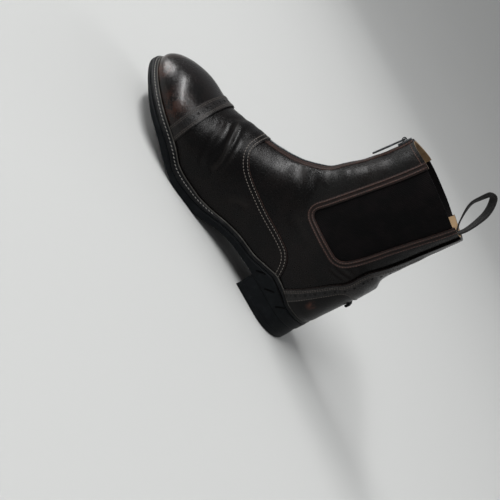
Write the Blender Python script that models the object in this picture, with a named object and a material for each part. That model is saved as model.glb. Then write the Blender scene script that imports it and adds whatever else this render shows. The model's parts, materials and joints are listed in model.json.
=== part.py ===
# Left paddock boot with a front zip and two elastic side panels, standing empty on its sole.
# Metres. +X runs to the toe, +Y to the outer side, +Z up. The origin is on the floor, under the
# middle of the sole's outline.

import math

import bmesh
import bpy
import numpy as np

# Driving sizes of the sole
boot_length = 0.2785  # sole, back of the heel to the toe
ball_width = 0.100  # sole, across the ball of the foot
heel_height = 0.0325  # floor to the top edge of the sole at the heel
heel_flare = 0.0008  # how far the heel's foot stands out
heel_length = 0.066  # back of the heel to its breast
breast_hollow = 0.004  # how far the breast curves in at its middle
edge_bevel = 0.0012
edge_groove = 0.0007  # depth of the line between heel and outsole
toe_reach_outer = 0.066  # length over which the outer side rounds to the toe
toe_reach_inner = 0.054
heel_reach = 0.034  # length over which the heel rounds off

# Driving sizes of the welt, insole and upper
welt_width = 0.0052  # welt that shows outside the upper
welt_edge = 0.0024  # thickness of the welt at its rim
welt_slope = 0.0034  # how far the welt rises from its rim to the upper
welt_reveal = 0.0004  # welt's rim behind the outsole's
welt_tuck = 0.0040  # welt under the upper's wall
insole_thickness = 0.0030
insole_play = 0.0022  # between the insole's edge and the upper
wall = 0.0024  # leather and lining
instep_height = 0.100  # floor to the top of the upper half way along
toe_dome = 0.050  # length over which the toe cap rounds down to the welt
shaft_height = 0.191  # floor to the front of the collar
collar_depth = 0.100  # front to back
shaft_width = 0.080  # side to side at the collar
collar_swing = 0.0045  # how far the back of the collar lies below its front
overlay = 0.0012  # leather laid over leather
gap = 0.0003  # clearance between pieces that touch

# Driving sizes of the zip, the side panels, the spur rest and the loop
zip_end = 0.585  # bottom of the zip, share of boot_length
zip_slot = 0.0085  # between the leather edges of the zip
tape_thickness = 0.0008
tape_depth = 0.0013  # the tape's face below the leather's
chain_width = 0.0052
chain_height = 0.0014
chain_lift = 0.0007  # teeth above the tape's face
tooth_pitch = 0.0050
slider_length = 0.0120
slider_width = 0.0092
slider_height = 0.0012  # the slider's plate
slider_drop = 0.0010  # slider's top below the collar
arch_place = -0.05  # arch from the slider's middle, share of its length
arch_hole = 0.00125
arch_bar = 0.0009
arch_width = 0.0022
pull_length = 0.0290
pull_width = 0.0120
pull_thickness = 0.0015
pull_lean = -3.0  # degrees that the pull leans in from the slope of the slider
gore_depth = 0.0007  # the elastic's face below the leather's
gore_thickness = 0.0014
gore_corner = 0.010
cap_low = 0.712  # toe cap's edge at the welt, share of boot_length
cap_high = 0.742  # the same on top
spur_level = 0.365  # underside of the spur rest, share of shaft_height
spur_width = 0.022
spur_depth = 0.0026
spur_height = 0.0050
back_extra = 0.0030  # how far the spur rest stands out behind the sole
strap_width = 0.0120  # pull loop's webbing
strap_thickness = 0.0014
loop_height = 0.038  # pull loop above the collar
loop_set_in = 0.0012  # flat webbing inside the curved back

# Mesh density
side_count = 26  # points from heel to toe along one side
ring_count = 25  # rings from the welt to the collar

heel_x = (back_extra - boot_length) / 2
toe_x = heel_x + boot_length


def monotone(xs, ys, x):
    """Smooth curve through the rows that never overshoots one of them."""
    xs = np.asarray(xs, float)
    ys = np.asarray(ys, float)
    x = np.clip(x, xs[0], xs[-1])
    step = np.diff(xs)
    rise = np.diff(ys) / step
    tangent = np.zeros(len(xs))
    for i in range(1, len(xs) - 1):
        if rise[i - 1] * rise[i] > 0:
            before = 2 * step[i] + step[i - 1]
            after = step[i] + 2 * step[i - 1]
            tangent[i] = (before + after) / (before / rise[i - 1] + after / rise[i])
    i = np.clip(np.searchsorted(xs, x, side="right") - 1, 0, len(xs) - 2)
    t = (x - xs[i]) / step[i]
    return (
        ys[i] * (2 * t**3 - 3 * t**2 + 1)
        + tangent[i] * step[i] * (t**3 - 2 * t**2 + t)
        + ys[i + 1] * (3 * t**2 - 2 * t**3)
        + tangent[i + 1] * step[i] * (t**3 - t**2)
    )


class Table:
    """Rows of shares under named columns; the first column is where each row lies."""

    def __init__(self, columns, rows):
        self.names = columns.split()
        self.rows = np.array(rows, float)

    def at(self, name, place):
        return monotone(self.rows[:, 0], self.rows[:, self.names.index(name)], place)


# Plan of the sole: along is a share of boot_length; outer, inner and ridge are shares of
# ball_width; rim is the share of welt_width that shows outside the upper.
plan = Table(
    "along outer inner ridge rim",
    (
        (0.00, 0.335, 0.330, 0.000, 0.32),
        (0.12, 0.335, 0.325, 0.000, 0.32),
        (0.26, 0.325, 0.300, 0.000, 0.32),
        (0.40, 0.340, 0.245, 0.000, 0.40),
        (0.50, 0.390, 0.270, 0.000, 0.70),
        (0.60, 0.465, 0.360, -0.010, 1.00),
        (0.69, 0.500, 0.450, -0.025, 1.00),
        (0.78, 0.495, 0.500, -0.045, 1.00),
        (1.00, 0.440, 0.480, -0.070, 1.00),
    ),
)

# Side of the sole: feather is the top edge and bottom the underside, shares of heel_height;
# top is the upper's own top line, a share of instep_height.
side = Table(
    "along feather bottom top",
    (
        (0.00, 0.98, 0.54, 0.95),
        (0.09, 1.00, 0.54, 1.05),
        (0.14, 1.09, 0.54, 1.10),
        (0.19, 1.13, 0.54, 1.15),
        (0.24, 1.00, 0.53, 1.19),
        (0.29, 0.86, 0.51, 1.22),
        (0.36, 0.79, 0.45, 1.22),
        (0.42, 0.66, 0.30, 1.13),
        (0.47, 0.51, 0.10, 1.01),
        (0.50, 0.44, 0.00, 0.95),
        (0.54, 0.39, 0.00, 0.885),
        (0.60, 0.39, 0.00, 0.805),
        (0.64, 0.43, 0.07, 0.76),
        (0.69, 0.60, 0.20, 0.70),
        (0.74, 0.72, 0.34, 0.65),
        (0.78, 0.79, 0.42, 0.627),
        (0.85, 0.90, 0.56, 0.617),
        (0.92, 1.00, 0.72, 0.60),
        (1.00, 1.10, 0.82, 0.575),
    ),
)

# Shaft: level is a share of shaft_height; front and back are shares of collar_depth from the
# back of the heel, half a share of shaft_width.
shaft = Table(
    "level front back half",
    (
        (0.10, 0.60, 0.030, 0.36),
        (0.30, 0.84, 0.013, 0.42),
        (0.45, 0.98, 0.018, 0.43),
        (0.52, 1.05, 0.040, 0.435),
        (0.58, 1.09, 0.075, 0.44),
        (0.67, 1.09, 0.080, 0.45),
        (0.78, 1.04, 0.073, 0.47),
        (0.90, 1.00, 0.070, 0.49),
        (1.00, 0.99, 0.065, 0.50),
    ),
)

# Collar: across is a share of collar_depth from its back, rise a share of collar_swing.
collar = Table(
    "across rise",
    (
        (0.05, -1.00),
        (0.40, -0.10),
        (0.75, 0.50),
        (1.00, 0.00),
    ),
)


def share(x):
    """How far along the boot, as a share of its length."""
    return (x - heel_x) / boot_length


def at_share(along):
    return heel_x + along * boot_length


def round_end(distance, reach, power=2.0):
    """Grows from 0 at an end to 1 one reach away, as a quarter of an ellipse does."""
    left = 1 - np.clip(distance / reach, 0, 1)
    return (1 - left**power) ** (1 / power)


def smooth_step(x):
    t = np.clip(x, 0, 1)
    return t * t * (3 - 2 * t)


def feather(x):
    """Height of the sole's top edge, where the upper meets it."""
    return heel_height * side.at("feather", share(x))


def underside(x):
    """Height of the outsole's underside, without the heel."""
    return heel_height * side.at("bottom", share(x))


def rim(x):
    """Sole edge that shows outside the upper."""
    return welt_width * plan.at("rim", share(x))


def ridge(x):
    """Sideways place of the upper's top line."""
    return ball_width * plan.at("ridge", share(x))


def half_width(x, inset, outer):
    """From the ridge to the sole's edge drawn in by inset, on the outer or the inner side."""
    body = ball_width * plan.at("outer" if outer else "inner", share(x))
    body = body - ridge(x) if outer else body + ridge(x)
    toe_reach = toe_reach_outer if outer else toe_reach_inner
    front = round_end(toe_x - inset - x, toe_reach - inset)
    back = round_end(x - heel_x - inset, heel_reach - inset)
    return np.maximum(body - inset, 0) * front * back


def spread():
    """Shares from 0 at the back to 1 at the front, closer together at both ends."""
    return (1 - np.cos(math.pi * np.arange(side_count + 1) / side_count)) / 2


def stations(back, front):
    """x along the boot that keeps the same places between its rounded ends for any inset."""
    x = at_share(spread())
    from_back = x - heel_x
    from_front = toe_x - x
    at_back = heel_x + back + from_back * (1 - back / heel_reach)
    at_front = toe_x - front - from_front * (1 - front / toe_reach_inner)
    x = np.where(from_back < heel_reach, at_back, x)
    return np.where(from_front < toe_reach_inner, at_front, x)


def around(outer_half, inner_half, xs):
    """One closed ring of x, y from the back, along the outer side to the toe and back inside."""
    outer_y = ridge(xs) + outer_half
    inner_y = ridge(xs) - inner_half
    ring_x = np.concatenate([xs, xs[-2:0:-1]])
    ring_y = np.concatenate([outer_y, inner_y[-2:0:-1]])
    return ring_x, ring_y


def sole_ring(inset_of, height_of):
    """The sole's outline drawn in by inset_of(x), at the height height_of(x)."""
    xs = stations(inset_of(heel_x), inset_of(toe_x))
    insets = inset_of(xs)
    ring_x, ring_y = around(half_width(xs, insets, True), half_width(xs, insets, False), xs)
    return np.stack([ring_x, ring_y, height_of(ring_x)], 1)


def foot_value(x, y, z):
    """1 on the foot part of the upper's outer face, less inside it."""
    inset = rim(x)
    outer = half_width(x, inset, True)
    inner = half_width(x, inset, False)
    half = np.where(y > ridge(x), outer, inner)
    front = toe_x - welt_width
    rise = instep_height * side.at("top", share(x)) - feather(x)
    rise = rise * round_end(front - x, toe_dome, 2.3)
    q = np.clip((z - feather(x)) / np.maximum(rise, 1e-5), 0, 50)
    tuck = 1 - 0.02 * (1 - np.clip(q / 0.25, 0, 1)) ** 2
    across = np.abs(y - ridge(x)) / np.maximum(half * tuck, 1e-5)
    value = across**2.1 + q**2.1
    outside = (half <= 1e-5) | (rise <= 1e-5)
    return np.where(outside, 99.0, value)


def shaft_value(x, y, z):
    """1 on the shaft's outer face, less inside it."""
    level = z / shaft_height
    front = heel_x + collar_depth * shaft.at("front", level)
    back = heel_x + collar_depth * shaft.at("back", level)
    half = shaft_width * shaft.at("half", level)
    middle = (front + back) / 2
    return np.abs((x - middle) / (front - middle)) ** 2.15 + np.abs(y / half) ** 2.15


def last_value(x, y, z):
    """1 on the upper's outer face: foot and shaft run into each other in a soft fillet."""
    power = -5.0
    foot = np.maximum(foot_value(x, y, z), 1e-3) ** power
    leg = np.maximum(shaft_value(x, y, z), 1e-3) ** power
    return (foot + leg) ** (1 / power)


def height_at(x, level):
    """Rings start on the feather line, lie flat at mid height and end along the collar."""
    flatten = 2.0 * heel_height
    low = feather(x) * np.clip(1 - level / flatten, 0, 1)
    rise = collar_swing * collar.at("rise", (x - heel_x) / collar_depth)
    return level + low + rise * smooth_step(level / shaft_height * 3 - 2)


def crossing(value_at, inside, outside):
    """Where value_at passes 1 between arrays of places inside and outside the upper."""
    for _ in range(40):
        middle = (inside + outside) / 2
        within = value_at(middle) < 1
        inside = np.where(within, middle, inside)
        outside = np.where(within, outside, middle)
    return (inside + outside) / 2


def profile(levels):
    """Back and front x of the upper at each level, on its middle line."""

    def on_middle(x):
        return last_value(x, ridge(x), height_at(x, levels))

    middle = np.full(len(levels), heel_x + collar_depth / 2)
    back = crossing(on_middle, middle, np.full(len(levels), heel_x - 0.01))
    front = crossing(on_middle, middle, np.full(len(levels), toe_x))
    return back, front


def ring_levels():
    """Levels spaced evenly along the front and the back of the upper together."""
    fine = np.linspace(0, shaft_height, 400)
    back, front = profile(fine)
    front_run = np.hypot(np.diff(front), np.diff(height_at(front, fine)))
    back_run = np.hypot(np.diff(back), np.diff(height_at(back, fine)))
    run = np.concatenate([[0], np.cumsum(front_run / front_run.sum() + back_run / back_run.sum())])
    return np.interp(np.linspace(0, run[-1], ring_count), run, fine)


def last_rings():
    """The upper's outer face as rings of points, with its normals."""
    levels = ring_levels()
    back, front = profile(levels)
    even = back[:, None] + (front - back)[:, None] * spread()[None, :]
    low = stations(back[0] - heel_x, toe_x - front[0])
    near_sole = np.clip(1 - levels / (0.8 * heel_height), 0, 1)[:, None]
    xs = even + (low - even[0]) * near_sole
    z = height_at(xs, levels[:, None])
    middle = ridge(xs)
    far = np.full(xs.shape, ball_width)
    outer = crossing(lambda d: last_value(xs, middle + d, z), np.zeros(xs.shape), far)
    inner = crossing(lambda d: last_value(xs, middle - d, z), np.zeros(xs.shape), far)
    ends = np.zeros(xs.shape)
    ends[:, 1:-1] = 1
    rings = []
    for k in range(len(levels)):
        ring_x, ring_y = around(outer[k] * ends[k], inner[k] * ends[k], xs[k])
        rings.append(np.stack([ring_x, ring_y, height_at(ring_x, levels[k])], 1))
    rings = np.array(rings)
    return rings, normals_at(rings)


def normals_at(points):
    step = 0.0002
    x, y, z = points[..., 0], points[..., 1], points[..., 2]
    slope = np.stack(
        [
            last_value(x + step, y, z) - last_value(x - step, y, z),
            last_value(x, y + step, z) - last_value(x, y - step, z),
            last_value(x, y, z + step) - last_value(x, y, z - step),
        ],
        -1,
    )
    length = np.linalg.norm(slope, axis=-1, keepdims=True)
    return slope / np.maximum(length, 1e-9)


def material(name, colour, roughness, metallic=0.0):
    made = bpy.data.materials.new(name)
    made.use_nodes = True
    shader = made.node_tree.nodes["Principled BSDF"]
    shader.inputs["Base Color"].default_value = (*colour, 1)
    shader.inputs["Roughness"].default_value = roughness
    shader.inputs["Metallic"].default_value = metallic
    return made


def add_object(name, points, faces, finish, smooth=True):
    """A closed mesh object with its faces pointing out."""
    mesh = bpy.data.meshes.new(name)
    mesh.from_pydata([tuple(p) for p in points], [], faces)
    work = bmesh.new()
    work.from_mesh(mesh)
    bmesh.ops.recalc_face_normals(work, faces=work.faces)
    work.to_mesh(mesh)
    work.free()
    made = bpy.data.objects.new(name, mesh)
    bpy.context.scene.collection.objects.link(made)
    if finish:
        mesh.materials.append(finish)
    if smooth:
        mesh.shade_smooth()
        mesh.set_sharp_from_angle(angle=math.radians(35))
    return made


def stack(rings, closed_ring=True):
    """Faces between rings that follow one another."""
    count = len(rings[0])
    last = count if closed_ring else count - 1
    faces = []
    for k in range(len(rings) - 1):
        for i in range(last):
            j = (i + 1) % count
            faces.append((k * count + i, k * count + j, (k + 1) * count + j, (k + 1) * count + i))
    return faces


def across_faces(start):
    """Faces that close a sole ring, strip by strip from the outer to the inner side."""
    count = 2 * side_count
    faces = [(start, start + 1, start + count - 1)]
    for i in range(1, side_count - 1):
        faces.append((start + i, start + i + 1, start + count - i - 1, start + count - i))
    faces.append((start + side_count - 1, start + side_count, start + side_count + 1))
    return faces


def slab(name, rings, finish):
    """A solid from stacked sole rings, closed at its first and last ring."""
    faces = stack(rings)
    faces += across_faces(0) + across_faces((len(rings) - 1) * len(rings[0]))
    return add_object(name, np.concatenate(rings), faces, finish)


def shell(name, rings, normals, outside, inside, finish):
    """A hollow wall that follows the upper, from inside to outside its outer face."""
    walls = []
    for offset in (outside, inside):
        moved = rings + normals * offset
        moved[0, :, 2] = feather(moved[0, :, 0]) + gap
        moved[-1, :, 2] = rings[-1, :, 2]
        walls.append(moved)
    outer, inner = walls
    count = rings.shape[1]
    total = rings.shape[0] * count
    faces = stack(outer)
    faces += [tuple(i + total for i in face) for face in stack(inner)]
    for first in (0, total - count):
        for i in range(count):
            j = (i + 1) % count
            faces.append((first + i, first + j, total + first + j, total + first + i))
    points = np.concatenate([outer.reshape(-1, 3), inner.reshape(-1, 3)])
    return add_object(name, points, faces, finish)


def fillet(corners, radius, steps=4):
    """A polygon of x, z corners with its corners rounded off."""
    corners = [np.array(c, float) for c in corners]
    rounded = []
    for i, corner in enumerate(corners):
        before = corners[i - 1] - corner
        after = corners[(i + 1) % len(corners)] - corner
        reach = min(radius, np.linalg.norm(before) / 2.2, np.linalg.norm(after) / 2.2)
        start = corner + before / np.linalg.norm(before) * reach
        end = corner + after / np.linalg.norm(after) * reach
        for k in range(steps + 1):
            t = k / steps
            rounded.append((1 - t) ** 2 * start + 2 * t * (1 - t) * corner + t**2 * end)
    return rounded


def prism(name, outline, low_y, high_y):
    """A cutter: a side-view outline of x, z points carried from low_y to high_y."""
    count = len(outline)
    points = [(p[0], low_y, p[1]) for p in outline] + [(p[0], high_y, p[1]) for p in outline]
    faces = [tuple(range(count)), tuple(range(2 * count - 1, count - 1, -1))]
    for i in range(count):
        j = (i + 1) % count
        faces.append((i, count + i, count + j, j))
    made = add_object(name, points, faces, None, smooth=False)
    made.hide_render = True
    made.display_type = "WIRE"
    return made


def combine(target, tool, operation):
    step = target.modifiers.new(tool.name, "BOOLEAN")
    step.operation = operation
    step.solver = "EXACT"
    step.object = tool


def helper(made):
    """Marks a shape that only lends its form to another."""
    made.hide_render = True
    made.display_type = "WIRE"
    return made


def hoop(name, rings, finish):
    """A solid ring from sole rings that run round its cross-section."""
    count = len(rings[0])
    faces = []
    for k in range(len(rings)):
        following = (k + 1) % len(rings)
        for i in range(count):
            j = (i + 1) % count
            near, far = k * count, following * count
            faces.append((near + i, near + j, far + j, far + i))
    return add_object(name, np.concatenate(rings), faces, finish)


def lofted(name, rings, finish, smooth=True):
    """A solid from rings that follow one another, with flat ends."""
    count = len(rings[0])
    total = len(rings) * count
    faces = stack(rings) + [tuple(range(count)), tuple(range(total - 1, total - count - 1, -1))]
    return add_object(name, np.concatenate(rings), faces, finish, smooth)


def drawn_in(outline, distance):
    """The outline with its sides moved inwards."""
    points = np.array(outline, float)
    before = points - np.roll(points, 1, axis=0)
    after = np.roll(points, -1, axis=0) - points
    area = np.sum(points[:, 0] * np.roll(points[:, 1], -1) - points[:, 1] * np.roll(points[:, 0], -1))
    turn = 1 if area > 0 else -1
    sides = []
    for run in (before, after):
        unit = run / np.linalg.norm(run, axis=1, keepdims=True)
        sides.append(np.stack([-unit[:, 1], unit[:, 0]], 1) * turn)
    blend = sides[0] + sides[1]
    scale = 2 / np.maximum(np.sum(blend**2, axis=1, keepdims=True), 0.4)
    return points + blend * scale * distance


def welt_bottom(x):
    slope = welt_slope * plan.at("rim", share(x))
    return feather(x) - slope - welt_edge


def make_outsole(finish):
    def top(x):
        return welt_bottom(x) - gap

    rings = [
        sole_ring(lambda x: edge_bevel + 0 * x, underside),
        sole_ring(lambda x: 0 * x, lambda x: underside(x) + edge_bevel),
        sole_ring(lambda x: 0 * x, top),
    ]
    outsole = slab("outsole", rings, finish)
    combine(outsole, make_heel(), "UNION")
    return outsole


def heel_ring(inset, height):
    """Outline of the heel block: round at the back, its breast curved in."""
    xs = heel_x + inset + (heel_length - inset) * (1 - np.cos(math.pi / 2 * np.linspace(0, 1, 15)))
    outer = half_width(xs, inset, True)
    inner = half_width(xs, inset, False)
    points = [(x, y, height) for x, y in zip(xs, outer)]
    for t in np.linspace(1, -1, 7)[1:-1]:
        y = t * (outer[-1] if t > 0 else inner[-1])
        points.append((heel_x + heel_length - breast_hollow * (1 - t * t), y, height))
    points += [(x, -y, height) for x, y in zip(xs[:0:-1], inner[:0:-1])]
    return np.array(points)


def make_heel():
    """The heel block, from the floor up into the outsole."""
    seat = underside(heel_x)
    rings = [
        heel_ring(edge_bevel - heel_flare, 0.0),
        heel_ring(-heel_flare, edge_bevel),
        heel_ring(edge_groove, seat - 0.0004),
        heel_ring(edge_groove + 0.0015, seat + 0.0030),
    ]
    return helper(lofted("heel_block", rings, None))


def make_welt(finish):
    def top(x):
        return welt_bottom(x) + welt_edge

    def under(x):
        return rim(x) + wall + welt_tuck

    rings = [
        sole_ring(lambda x: welt_reveal + 0 * x, welt_bottom),
        sole_ring(lambda x: welt_reveal + 0 * x, top),
        sole_ring(rim, feather),
        sole_ring(under, feather),
        sole_ring(under, welt_bottom),
    ]
    return hoop("welt", rings, finish)


def make_insole(finish):
    def low(x):
        return rim(x) + wall + welt_tuck + gap

    def high(x):
        return rim(x) + wall + insole_play

    def seat(x):
        return feather(x) + gap

    rings = [
        sole_ring(low, welt_bottom),
        sole_ring(low, seat),
        sole_ring(high, seat),
        sole_ring(high, lambda x: seat(x) + insole_thickness),
    ]
    return slab("insole", rings, finish)


def gore_outline():
    """Side view of the elastic's window, from its bottom corners up past the collar."""
    table = Table(
        "up front back",
        (
            (0.475, 0.890, 0.400),
            (0.570, 0.855, 0.340),
            (0.750, 0.800, 0.292),
            (0.900, 0.755, 0.240),
            (1.200, 0.710, 0.160),
        ),
    )
    rows = [(up * shaft_height, up) for up in table.rows[:, 0]]
    front = [(heel_x + collar_depth * table.at("front", up), z) for z, up in rows]
    back = [(heel_x + collar_depth * table.at("back", up), z) for z, up in rows]
    return fillet(front + back[::-1], gore_corner)


def zip_outline():
    """Side view of the zip's slot: the front wall from the vamp to past the collar."""
    bottom = at_share(zip_end)
    return [
        (bottom, 0.60 * instep_height),
        (bottom, 1.20 * instep_height),
        (heel_x + 1.60 * collar_depth, 0.75 * shaft_height),
        (heel_x + 1.40 * collar_depth, 1.20 * shaft_height),
        (heel_x + 0.60 * collar_depth, 1.20 * shaft_height),
        (heel_x + 0.60 * collar_depth, 0.70 * shaft_height),
        (heel_x + 0.95 * collar_depth, 0.45 * shaft_height),
    ]


def make_upper(rings, normals, finish):
    upper = shell("upper", rings, normals, 0.0, -wall, finish)
    far = ball_width
    combine(upper, prism("outer_window", gore_outline(), 0.0, far), "DIFFERENCE")
    combine(upper, prism("inner_window", gore_outline(), -far, 0.0), "DIFFERENCE")
    half = zip_slot / 2
    combine(upper, prism("zip_slot_cutter", zip_outline(), -half, half), "DIFFERENCE")
    return upper


def make_gore(name, rings, normals, low_y, high_y, finish):
    """Elastic panel set a little below the leather's face."""
    gore = shell(name, rings, normals, -gore_depth, -gore_depth - gore_thickness, finish)
    inner = drawn_in(gore_outline(), gap)
    combine(gore, prism(name + "_cutter", inner, low_y, high_y), "INTERSECT")
    return gore


def make_toe_cap(rings, normals, finish):
    """Leather over the front of the vamp; its edge runs straight across in side view."""
    cap = shell("toe_cap", rings, normals, gap + overlay, gap, finish)
    low = at_share(cap_low)
    high = at_share(cap_high)
    outline = [
        (low - 0.3 * (high - low), 0.0),
        (high + 0.3 * (high - low), 1.1 * instep_height),
        (toe_x + ball_width, 1.1 * instep_height),
        (toe_x + ball_width, 0.0),
    ]
    combine(cap, prism("cap_cutter", outline, -ball_width, ball_width), "INTERSECT")
    return cap


def counter_outline():
    """Side view of the leather round the heel and up the back."""
    table = Table(
        "up edge",
        (
            (0.00, 0.50),
            (0.20, 0.42),
            (0.30, 0.33),
            (0.42, 0.215),
            (0.48, 0.195),
            (0.54, 0.200),
            (0.75, 0.160),
            (1.20, 0.095),
        ),
    )
    ups = (-0.1, 0.1, 0.2, 0.3, 0.37, 0.42, 0.46, 0.50, 0.54, 0.65, 0.8, 1.2)
    edge = [(heel_x + collar_depth * table.at("edge", up), up * shaft_height) for up in ups]
    behind = heel_x - 0.3 * ball_width
    return edge + [(behind, 1.2 * shaft_height), (behind, -0.1 * shaft_height)]


def make_counter(rings, normals, finish):
    counter = shell("counter", rings, normals, gap + overlay, gap, finish)
    cutter = prism("counter_cutter", counter_outline(), -ball_width, ball_width)
    combine(counter, cutter, "INTERSECT")
    return counter


def make_spur_rest(rings, normals, finish):
    """Small pad across the back, over the counter."""
    inside = overlay + 2 * gap
    rest = shell("spur_rest", rings, normals, inside + spur_depth, inside, finish)
    low = spur_level * shaft_height
    outline = [
        (heel_x - 0.3 * ball_width, low),
        (heel_x - 0.3 * ball_width, low + spur_height),
        (heel_x + 0.3 * collar_depth, low + spur_height),
        (heel_x + 0.3 * collar_depth, low),
    ]
    half = spur_width / 2
    combine(rest, prism("spur_cutter", outline, -half, half), "INTERSECT")
    return rest


def make_zip_tape(rings, normals, finish):
    tape = shell("zip_tape", rings, normals, -tape_depth, -tape_depth - tape_thickness, finish)
    half = zip_slot / 2 - gap
    cutter = prism("tape_cutter", drawn_in(zip_outline(), gap), -half, half)
    combine(tape, cutter, "INTERSECT")
    return tape


def front_path():
    """Places down the middle of the front from the collar to the zip's end, with tangents."""
    levels = np.linspace(shaft_height, 0.3 * shaft_height, 600)
    _, front = profile(levels)
    x = front
    z = height_at(front, levels)
    run = np.concatenate([[0], np.cumsum(np.hypot(np.diff(x), np.diff(z)))])
    end = run[np.argmax(x > at_share(zip_end) - 0.0030)]
    return run, x, z, end


def front_frame(distance):
    """Place, downward tangent and outward normal at a distance down the front."""
    run, x, z, _ = front_path()
    place = np.array([np.interp(distance, run, x), np.interp(distance, run, z)])
    ahead = np.array([np.interp(distance + 0.002, run, x), np.interp(distance + 0.002, run, z)])
    tangent = (ahead - place) / np.linalg.norm(ahead - place)
    return place, tangent, np.array([-tangent[1], tangent[0]])


def make_zip_teeth(finish):
    """Both rows of closed teeth as one stepped strip down the front."""
    run, x, z, end = front_path()
    start = slider_drop + 0.0015
    count = int((end - start) / tooth_pitch)
    pitch = (end - start) / count
    low = -tape_depth + chain_lift
    rings = []
    for k in range(count):
        for part, width, height in ((0.05, 1.0, 1.0), (0.50, 1.0, 1.0), (0.58, 0.8, 0.55), (0.97, 0.8, 0.55)):
            distance = start + (k + part) * pitch
            place = np.array([np.interp(distance, run, x), np.interp(distance, run, z)])
            ahead = distance + 0.003
            away = np.array([np.interp(ahead, run, x), np.interp(ahead, run, z)]) - place
            away = away / np.linalg.norm(away)
            out = np.array([-away[1], away[0]])
            half = chain_width / 2 * width
            foot = place + out * low
            head = place + out * (low + chain_height * height)
            rings.append(
                np.array(
                    [
                        (foot[0], -half, foot[1]),
                        (foot[0], half, foot[1]),
                        (head[0], half, head[1]),
                        (head[0], -half, head[1]),
                    ]
                )
            )
    return lofted("zip_teeth", rings, finish, smooth=False)


def framed(points, place, tangent, normal):
    """Turns (down, side, out) rows into x, y, z at a frame of the front."""
    rows = np.array(points, float)
    x = place[0] + rows[:, 0] * tangent[0] + rows[:, 2] * normal[0]
    z = place[1] + rows[:, 0] * tangent[1] + rows[:, 2] * normal[1]
    return np.stack([x, rows[:, 1], z], 1)


def slider_levels():
    """Heights over the leather: flange foot, slider's ceiling, its top and the pull's axis."""
    foot = gap
    ceiling = -tape_depth + chain_lift + chain_height + gap
    top = ceiling + slider_height
    return foot, ceiling, top, top + arch_hole - 0.0001


def make_slider(finish):
    """Zip slider: a plate with flanges beside the teeth and an arch for the pull."""
    frame = front_frame(slider_drop + slider_length / 2)
    foot, ceiling, top, axis = slider_levels()
    rings = []
    for down, taper in ((-0.50, 0.86), (-0.38, 1.0), (0.10, 1.0), (0.50, 0.80)):
        wide = slider_width / 2 * taper
        slim = chain_width / 2 + gap
        cross = [
            (-wide, foot),
            (-wide, top - 0.0003),
            (-wide + 0.0006, top),
            (wide - 0.0006, top),
            (wide, top - 0.0003),
            (wide, foot),
            (slim, foot),
            (slim, ceiling),
            (-slim, ceiling),
            (-slim, foot),
        ]
        rings.append(framed([(down * slider_length, y, out) for y, out in cross], *frame))
    slider = lofted("zip_slider", rings, finish, smooth=False)
    angles = np.linspace(0, math.pi, 9)
    rim_radius = arch_hole + arch_bar
    outline = [(-rim_radius, top - 0.0005)]
    outline += [(-rim_radius * math.cos(a), axis + rim_radius * math.sin(a)) for a in angles]
    outline += [(rim_radius, top - 0.0005), (arch_hole, top - 0.0005)]
    outline += [(arch_hole * math.cos(a), axis + arch_hole * math.sin(a)) for a in angles]
    outline += [(-arch_hole, top - 0.0005)]
    half = arch_width / 2
    hinge = arch_place * slider_length
    sides = [framed([(hinge + d, y, out) for d, out in outline], *frame) for y in (-half, half)]
    arch = helper(lofted("slider_arch", sides, None, smooth=False))
    combine(slider, arch, "UNION")
    return slider


def make_pull(finish):
    """Pull tab: a bar in the slider's arch, a neck and a shield that ends in a point."""
    place, tangent, normal = front_frame(slider_drop + slider_length / 2)
    _, _, _, axis = slider_levels()
    centre = place + tangent * arch_place * slider_length + normal * axis
    lean = math.radians(pull_lean)
    down = tangent * math.cos(lean) - normal * math.sin(lean)
    out = np.array([-down[1], down[0]])
    half_bar = pull_thickness / 2
    rows = Table(
        "down half",
        (
            (0.000, 0.30),
            (0.140, 0.30),
            (0.220, 0.20),
            (0.330, 0.22),
            (0.450, 0.44),
            (0.620, 0.50),
            (0.780, 0.43),
            (0.910, 0.24),
            (1.000, 0.05),
        ),
    )
    right = [(d * pull_length, h * pull_width) for d, h in rows.rows]
    right[0] = (-half_bar, right[0][1])
    left = [(d, -h) for d, h in right[::-1]]
    outline = right + left
    faces = []
    for o in (-half_bar, half_bar):
        faces.append(framed([(d, y, o) for d, y in outline], centre, down, out))
    pull = lofted("zip_pull", faces, finish, smooth=False)
    window = arch_width / 2 + 0.0004
    reach = arch_hole + arch_bar + 0.0006
    corners = [(half_bar, -window), (reach, -window), (reach, window), (half_bar, window)]
    cutter = []
    for o in (-0.01, 0.01):
        cutter.append(framed([(d, y, o) for d, y in corners], centre, down, out))
    combine(pull, helper(lofted("pull_window", cutter, None, smooth=False)), "DIFFERENCE")
    hinge = bpy.data.objects.new("pull_hinge", None)
    hinge.location = (centre[0], 0, centre[1])
    bpy.context.scene.collection.objects.link(hinge)
    pull.parent = hinge
    pull.location = (-centre[0], 0, -centre[1])
    return pull


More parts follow.
